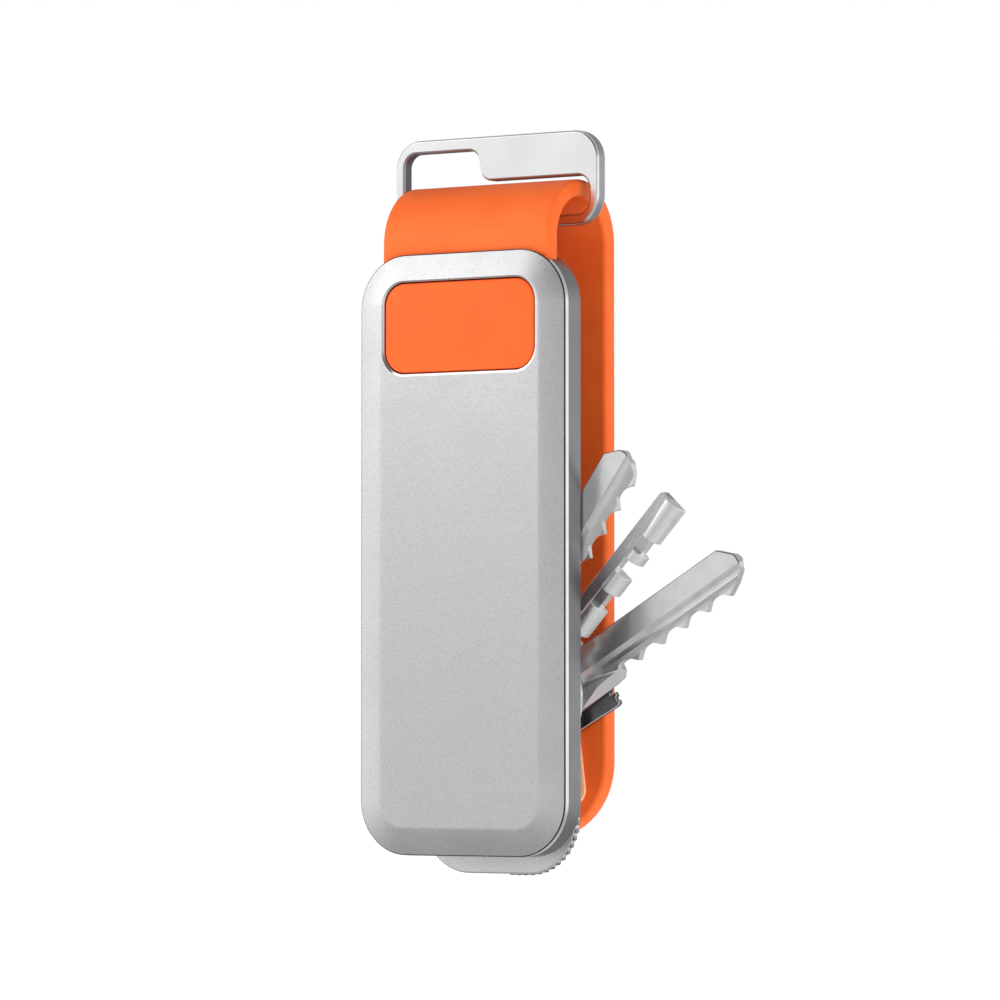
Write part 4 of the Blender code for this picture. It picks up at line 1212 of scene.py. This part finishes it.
@dataclass
class PinKey:
    """Pin-tumbler key: toothed blade with a milled face. Sizes in millimetres, angle in degrees."""

    shop: Shop
    node: str
    name: str
    angle: float
    back_edge: float
    crest: float
    first_tooth: float
    pitch: float
    cut: float
    bow_radius: float
    bow_centre: float
    tip: Sequence[Point]
    relief: Sequence[Point]
    neck: Sequence[Point]
    count: int
    valley: Sequence[Point] = (
        (0.12, 0.40), (0.24, 0.74), (0.34, 0.93), (0.44, 1.0), (0.56, 1.0), (0.66, 0.97),
        (0.74, 0.86), (0.86, 0.48),
    )
    edge: float = 0.15

    def teeth(self) -> Outline:
        """The cut side from its tip to its bow: pointed teeth between hollow-ground valleys."""
        points: Outline = []
        for index in range(self.count):
            apex = self.first_tooth - self.pitch * index
            points += [(self.crest, apex + 0.1), (self.crest, apex - 0.1)]
            for share, depth in self.valley:
                points.append((self.crest - self.cut * depth, apex - 0.1 - (self.pitch - 0.2) * share))
        return points

    def build(self) -> None:
        """Make and dress the key."""
        low = self.shop.low(self.node).y
        high = self.shop.high(self.node).y
        middle = (self.crest + self.back_edge) / 2
        half = (self.crest - self.back_edge) / 2
        rounding = bow(self.bow_radius, self.bow_centre, self.neck[-1][0], self.back_edge)
        outline = [*self.tip, *self.teeth(), *self.neck, *rounding]
        key = plate(self.name, [outline, circle(HOLE)], low, high, self.edge)
        bow_top = self.bow_centre + self.bow_radius - 0.5
        beyond = self.tip[0][1] + 10
        front = [(x, low + depth) for x, depth in self.relief]
        outside = self.crest + 2
        profile = [(self.relief[0][0], low - 1), *front, (outside, front[-1][1]), (outside, low - 1)]
        carve(key, prism("front_relief", profile, bow_top, beyond))
        groove = middle + half * 0.1
        corners = ((-0.8, 1), (-0.8, 0), (-0.5, -0.5), (0.5, -0.5), (0.8, 0), (0.8, 1))
        back = [(groove + x, high + y) for x, y in corners]
        carve(key, prism("back_groove", back, bow_top, beyond))
        # Rounded rims, but not the milled faces, take the dark copy of the steel: painted shade.
        for face in key.data.polygons:
            rim = min(face.center.y - low, high - face.center.y) < self.edge * 0.9
            milled = abs(face.normal.z) < 0.02 and face.center.x > self.relief[0][0] - 0.01
            face.material_index = 1 if rim and not milled and 0.1 < abs(face.normal.y) < 0.98 else 0
        tones = (0.82, 0.82, 0.825), (0.90, 0.90, 0.905)
        turn = -radians(self.angle)
        finish = BrushedMetal(f"{self.name} steel", *tones, (0.22, 0.3), turn, metallic=0.92)
        self.shop.keep(key, [self.node], [finish, KEY_RIM_PAINTED_SHADE], self.shop.turned(self.angle), radians(14))


@dataclass
class HalfRoundKey:
    """Key with a flat spine and a half-round side cut into segments. Sizes in millimetres."""

    shop: Shop
    angle: float = 43.0
    back_edge: float = -1.7
    spine_edge: float = 0.2
    core_edge: float = 1.8
    round_edge: float = 2.7
    bar_middle: float = 1.1
    bar_radius: float = 1.6
    spine: float = 1.55
    flare: float = 0.5
    length: float = 45.2
    neck: float = 19.5
    segments: Sequence[Point] = ((20.5, 25.7), (28.5, 31.8), (34.4, 36.1), (38.7, 45.2))
    cores: Sequence[Point] = ((19.4, 20.6), (25.6, 28.6), (36.0, 38.8))
    steps: int = 36

    def segment(self, front: float, back: float, low: float, high: float) -> Piece:
        """A stretch of half-round bar with softened ends; the one at the tip widens over the spine."""
        depth = back - front
        gap = 0.03
        foot = back - self.spine + gap
        last = pi - asin(self.spine / depth)
        rings = []
        flare = self.flare if high == self.length else 0.0
        soft = 0.08
        stations = ((soft, low, 0.0), (0, low + soft, 0.0), (0, high - soft, flare), (soft, high, flare))
        for inset, z, wider in stations:
            middle = self.bar_middle - wider
            radius = self.bar_radius + wider
            turns = [last * step / self.steps for step in range(self.steps + 1)]
            arc = [
                Vector((middle + (radius - inset) * cos(turn), back - gap - (depth - inset) * sin(turn), z))
                for turn in turns
            ]
            corners = [Vector((-1.3, foot, z)), Vector((-1.3, back - gap, z))]
            rings.append(arc + corners)
        return loft("segment", rings)

    def build(self) -> None:
        """Make and dress the key."""
        low = self.shop.low("key_2").y
        high = self.shop.high("key_2").y
        spine_front = high - self.spine
        outline = [
            (self.back_edge + 0.3, self.length),
            (self.spine_edge, self.length),
            (self.spine_edge, self.neck),
            (self.round_edge, self.neck),
        ]
        outline += bow(11.0, 6.0, self.round_edge, self.back_edge) + [(self.back_edge, self.length - 0.3)]
        key = plate("round_key_blade", [outline, circle(HOLE)], spine_front, high, 0.1)
        for start, end in self.cores:
            low_corner = (self.back_edge / 2, spine_front + 0.04, start)
            carve(key, block("core", low_corner, (self.core_edge, high - 0.05, end)), Join.ADD)
        for start, end in self.segments:
            carve(key, self.segment(low, high, start, end), Join.ADD)
        # The spine's and the cores' fronts take a darker copy of the key's steel: painted shade.
        for face in key.data.polygons:
            face.material_index = 1 if face.normal.y < -0.98 and abs(face.center.y - spine_front) < 0.1 else 0
        turn = -radians(self.angle)
        tones = (0.88, 0.88, 0.89), (0.96, 0.96, 0.97)
        bar = BrushedMetal("round key steel", *tones, (0.24, 0.32), turn, metallic=0.84)
        # Darker copy of the same steel for the spine: painted shade.
        tones = (0.52, 0.52, 0.53), (0.62, 0.62, 0.63)
        spine = BrushedMetal("round key spine painted shade", *tones, (0.34, 0.42), turn, metallic=0.92)
        self.shop.keep(key, ["key_2"], [bar, spine], self.shop.turned(self.angle))


@dataclass
class ShortKeys:
    """The thin scooped key and the flat key with fine cuts. Sizes in millimetres."""

    shop: Shop
    thin_angle: float = 63.0
    flat_angle: float = 61.0

    def thin(self) -> None:
        """Thin key with a scooped cut side and a hollow along its face."""
        low = self.shop.low("key_4").y
        high = self.shop.high("key_4").y
        back_edge = -2.5
        blade = [(back_edge, 20.2), (back_edge + 1.0, 21.2), (1.2, 21.2)]
        blade += [(2.07, 20.6), (2.37, 19.0), (3.15, 11.8), (3.2, 10.2)]
        outline = blade + bow(9.0, 1.5, 3.2, back_edge)
        key = plate("thin_key_blade", [outline, circle(HOLE)], low, high, 0.06)
        rings = []
        for height, ridge in ((9.5, 3.7), (12.3, 3.0), (16.2, 1.3), (19.0, 0.9), (23.0, 0.5)):
            outside = 4.2
            depth = 0.45 * (outside - ridge)
            corners = [(ridge, low - 1), (ridge, low), (outside, low + depth), (outside, low - 1)]
            rings.append([Vector((x, y, height)) for x, y in corners])
        carve(key, loft("bevel", rings))
        # Faces of the scoop take a lighter, less metallic copy of the key's steel: painted highlight.
        for face in key.data.polygons:
            scooped = face.normal.x > 0.2 and face.normal.y < -0.5 and face.center.z > 10.5
            face.material_index = 1 if scooped else 0
        turn = -radians(self.thin_angle)
        tones = (0.56, 0.56, 0.57), (0.66, 0.66, 0.67)
        finish = BrushedMetal("thin key steel", *tones, (0.3, 0.4), turn, metallic=0.9)
        # Lighter copy of the key's steel for the scoop: painted highlight.
        tones = (0.86, 0.86, 0.87), (0.95, 0.95, 0.95)
        scoop = BrushedMetal("thin key scoop painted highlight", *tones, (0.3, 0.38), turn, metallic=0.6)
        self.shop.keep(key, ["key_4"], [finish, scoop], self.shop.turned(self.thin_angle), radians(14))

    def flat(self) -> None:
        """Dark flat key with fine cuts across the corner of its end."""
        low = self.shop.low("key_5").y
        high = self.shop.high("key_5").y
        side = 5.6
        length = 17.6
        cuts = (
            (0.5 - side, 0.5), (3.2, 0.5), (3.2, 0.9), (3.6, 0.9), (3.6, 0), (4.3, 0), (4.3, 0.3), (4.9, 0.3),
            (4.9, 0), (side - 0.2, 0.1), (side, 0.6),
        )
        outline = [(x, length - depth) for x, depth in cuts] + bow(9.6, 0, side, -side)
        key = plate("flat_key_blade", [outline, circle(HOLE)], low, high, 0.16)
        groove = [(x, low + y) for x, y in ((3.1, -1), (3.1, 0.25), (3.3, 0.25), (3.3, -1))]
        carve(key, prism("groove", groove, 6.0, 30.0))
        for face in key.data.polygons:
            face.material_index = 1 if 0.1 < abs(face.normal.y) < 0.98 else 0
        tones = (0.16, 0.165, 0.175), (0.27, 0.275, 0.29)
        finish = BrushedMetal("dark key steel", *tones, (0.28, 0.38), -radians(self.flat_angle))
        self.shop.keep(key, ["key_5"], [finish, POLISHED], self.shop.turned(self.flat_angle))

    def build(self) -> None:
        """Make both keys."""
        self.thin()
        self.flat()


@dataclass
class MultiTool:
    """Folding tool with a wide thumb end and a knurled corner. Sizes in millimetres."""

    shop: Shop
    corner: float = 8.4
    shoulder: float = 8.0
    rise: float = 6.0
    blade: float = 4.5
    tip_half: float = 2.25
    taper: float = 6.0
    knurl_flat: float = 3.0
    knurl_pitch: float = 1.15
    ridge: float = 0.42
    edge: float = 0.22

    def knurl_line(self, half: float, low: float) -> list[Vector]:
        """The line that the ridges sit on: along the bottom, round the corner and up the side."""
        inset = self.ridge - 0.2
        reach = self.corner - inset
        middle = half - self.corner
        points = [Vector((middle - self.knurl_flat, 0, low + inset))]
        for step in range(41):
            turn = pi / 2 * step / 40
            points.append(Vector((middle + reach * sin(turn), 0, low + self.corner - reach * cos(turn))))
        points.append(Vector((half - inset, 0, low + self.corner + self.knurl_flat / 2)))
        return points

    def build(self) -> None:
        """Make and dress the tool and its ridges."""
        front = self.shop.low("multi_tool").y
        back = self.shop.high("multi_tool").y
        low = self.shop.low("multi_tool").z - self.shop.pivot + 0.28
        tip = self.shop.high("multi_tool").z - self.shop.pivot
        half = -self.shop.low("multi_tool").x
        blade_low = self.shoulder + self.rise
        outline = rounded(
            [
                (-half, low, self.corner),
                (half, low, self.corner),
                (half, self.shoulder, self.rise),
                (self.blade, blade_low, 2.0),
                (self.blade, tip - self.taper, 1.0),
                (self.tip_half, tip, 0.3),
                (-self.tip_half, tip, 0.3),
                (-self.blade, tip - self.taper, 1.0),
                (-self.blade, blade_low, 2.0),
                (-half, self.shoulder, self.rise),
            ]
        )
        tool = plate("tool_blade", [outline, circle(HOLE)], front, back, self.edge)
        hook = rounded([(-7.5, 19.0, 0), (-1.5, 19.0, 1.0), (-1.5, 24.5, 1.0), (-7.5, 24.5, 0)])
        carve(tool, plate("hook", [hook], front - 1, back + 1, 0))
        for face in tool.data.polygons:
            face.material_index = 1 if 0.1 < abs(face.normal.y) < 0.98 else 0
        row = Ridges(self.knurl_pitch, self.ridge, back - front - 2 * self.edge)
        ridges = row.make("knurl", self.knurl_line(half, low), self.shop.material(RIDGES))
        ridges.data.transform(Matrix.Translation((0, (front + back) / 2, 0)))
        for face in ridges.data.polygons:
            face.material_index = 2
        carve(tool, ridges, Join.ADD)
        self.shop.keep(tool, ["multi_tool"], [TOOL, POLISHED, RIDGES], self.shop.turned(0))


# Studio

@dataclass(frozen=True)
class Lamp:
    """A soft square lamp; glossy says whether metal mirrors it. Lengths in metres, power in watts."""

    name: str
    place: tuple[float, float, float]
    aim: tuple[float, float, float]
    size: float
    power: float
    glossy: bool = False

    def hang(self) -> None:
        """Put the lamp in the scene."""
        data = bpy.data.lights.new(self.name, "AREA")
        data.shape = "SQUARE"
        data.size = self.size
        data.energy = self.power
        lamp = bpy.data.objects.new(self.name, data)
        bpy.context.scene.collection.objects.link(lamp)
        lamp.visible_glossy = self.glossy
        lamp.location = self.place
        lamp.rotation_euler = (Vector(self.aim) - Vector(self.place)).to_track_quat("-Z", "Y").to_euler()


@dataclass
class Studio:
    """Camera, floor and soft light. Lengths in metres, angles in degrees."""

    azimuth: float = 34.0
    pitch: float = 2.259
    distance: float = 0.8201
    lens: float = 204.1
    target: tuple[float, float, float] = (7.3137, 0.0, 51.595)
    floor_drop: float = 0.09
    floor_size: float = 5.0
    brightness: float = 1.27
    shade: tuple[float, float, float] = (0.077, -0.880, 0.469)
    shade_edge: float = 0.86
    shade_core: float = 0.98
    shade_tone: float = 0.25
    across: Sequence[Point] = (
        (-1.0, 0.9), (-0.86, 0.82), (-0.56, 0.58), (-0.16, 0.7), (0.1, 0.72), (0.6, 0.74), (1.0, 1.0)
    )
    upwards: Sequence[Point] = (
        (-1.0, 0.6), (-0.6, 0.42), (-0.39, 0.36), (-0.14, 0.7), (0.0, 0.88),
        (0.14, 0.78), (0.3, 0.5), (0.5, 0.42), (1.0, 0.5),
    )
    lamps: Sequence[Lamp] = (
        Lamp("key_lamp", (-0.36, -0.50, 0.24), (0.0, 0.0, -0.03), 0.5, 2.0),
        Lamp("side_lamp", (0.50, -0.20, 0.02), (0.02, 0.0, -0.05), 0.3, 0.85),
        Lamp("panel", (-0.24, -0.25, 0.16), (0.0, 0.0, 0.10), 0.3, 0.28, glossy=True),
    )

    def camera(self, shop: Shop) -> None:
        """A long lens from the front right, a little below the middle."""
        data = bpy.data.cameras.new("camera")
        data.lens = self.lens
        data.sensor_width = 36
        data.clip_end = 20
        camera = bpy.data.objects.new("camera", data)
        bpy.context.scene.collection.objects.link(camera)
        turn = radians(self.azimuth)
        pitch = radians(self.pitch)
        ahead = Vector((-sin(turn) * cos(pitch), cos(turn) * cos(pitch), sin(pitch)))
        camera.location = shop.origin + Vector(self.target) * MM - ahead * self.distance
        camera.rotation_euler = ahead.to_track_quat("-Z", "Y").to_euler()
        bpy.context.scene.camera = camera

    def floor(self) -> None:
        """A plain pale floor well below the hanging organiser."""
        low = cad_box[0].z - self.floor_drop
        shape = bmesh.new()
        place = Matrix.Translation((0, 0, low))
        bmesh.ops.create_circle(shape, cap_ends=True, segments=64, radius=self.floor_size, matrix=place)
        floor = as_object("floor", shape)
        recipe = Recipe("pale floor", 0.0, 0.9)
        grain = recipe.noise(recipe.place, 12.0, 2.0)
        recipe.link(recipe.colours(grain, [(0.3, [0.90] * 3), (0.7, [0.92] * 3)]), "Base Color")
        recipe.set("Emission Color", (1, 1, 1, 1))
        recipe.set("Emission Strength", 0.8)
        recipe.set("Specular IOR Level", 0.0)
        floor.data.materials.append(recipe.material)
        floor.visible_glossy = False

    def world(self) -> None:
        """A white room: brighter above and to the left, dim below."""
        world = bpy.data.worlds.new("room")
        bpy.context.scene.world = world
        world.use_nodes = True
        room = Tree(world.node_tree)
        room.tree.nodes.clear()
        where = room.add("ShaderNodeTexCoord").outputs["Generated"]
        split = room.add("ShaderNodeSeparateXYZ", {0: where})
        tones = []
        for axis, stops in (("X", self.across), ("Z", self.upwards)):
            inputs = {"Value": split.outputs[axis], "From Min": -1, "From Max": 1}
            scaled = room.add("ShaderNodeMapRange", inputs).outputs[0]
            tones.append(room.colours(scaled, [((place + 1) / 2, [tone] * 3) for place, tone in stops]))
        product = room.add("ShaderNodeVectorMath", {0: tones[0], 1: tones[1]}, operation="MULTIPLY")
        nearness = room.add("ShaderNodeVectorMath", {0: where, 1: self.shade}, operation="DOT_PRODUCT")
        inputs = {"Value": nearness.outputs["Value"], "From Min": self.shade_edge, "From Max": self.shade_core}
        inputs |= {"To Min": 1.0, "To Max": self.shade_tone}
        shade = room.add("ShaderNodeMapRange", inputs, interpolation_type="SMOOTHSTEP")
        inputs = {0: product.outputs[0], "Scale": shade.outputs[0]}
        shaded = room.add("ShaderNodeVectorMath", inputs, operation="SCALE")
        lit = room.add("ShaderNodeBackground", {"Color": shaded.outputs[0], "Strength": self.brightness})
        seen = room.add("ShaderNodeBackground", {"Color": (1, 1, 1, 1), "Strength": 1.0})
        camera = room.add("ShaderNodeLightPath").outputs["Is Camera Ray"]
        mixed = room.add("ShaderNodeMixShader", {0: camera, 1: lit.outputs[0], 2: seen.outputs[0]})
        room.add("ShaderNodeOutputWorld", {0: mixed.outputs[0]})

    def build(self, shop: Shop) -> None:
        """Set the stage."""
        bpy.context.scene.view_settings.view_transform = "Standard"
        self.camera(shop)
        self.floor()
        self.world()
        for lamp in self.lamps:
            lamp.hang()


def main() -> None:
    """Build the looks of each sub-assembly, then the studio."""
    logging.basicConfig(level=logging.INFO, format="%(message)s")
    shop = Shop()
    housing = Housing(shop)
    housing.build()
    Release(shop, housing).build()
    Strap(shop).build()
    HangingLoop(shop).build()
    Post(shop).build()
    PinKey(
        shop, "key_1", "first_key_blade", 35.3, back_edge=-5.3, crest=0.9, first_tooth=43.5,
        pitch=4.2, cut=1.15, bow_radius=11.0, bow_centre=5.0,
        tip=[(-5.3, 44.9), (-3.5, 46.7), (-2.9, 46.95), (-2.2, 47.0), (-0.8, 46.2), (0.2, 45.1)],
        neck=[(0.6, 17.8), (0.9, 16.7)], count=6,
        relief=[(-1.95, 0.0), (-1.6, 0.14), (-1.1, 0.22), (-0.6, 0.38), (-0.1, 0.62), (0.4, 0.9)],
    ).build()
    HalfRoundKey(shop).build()
    MultiTool(shop).build()
    PinKey(
        shop, "key_3", "long_key_blade", 59.6, back_edge=-3.6, crest=3.0, first_tooth=42.9,
        pitch=4.5, cut=1.2, bow_radius=10.0, bow_centre=2.5,
        tip=[(-3.6, 44.5), (-1.75, 46.6), (-1.2, 46.9), (-0.2, 47.0), (0.5, 46.7), (2.0, 44.9)],
        neck=[(2.2, 20.2), (1.6, 17.8), (1.0, 15.0), (0.95, 13.2)], count=5,
        relief=[(-0.1, 0.0), (0.25, 0.22), (0.6, 0.42), (0.95, 0.44), (1.3, 0.4), (1.8, 0.55), (2.3, 0.62)],
    ).build()
    ShortKeys(shop).build()
    Studio().build(shop)


if __name__ == "__main__":
    main()
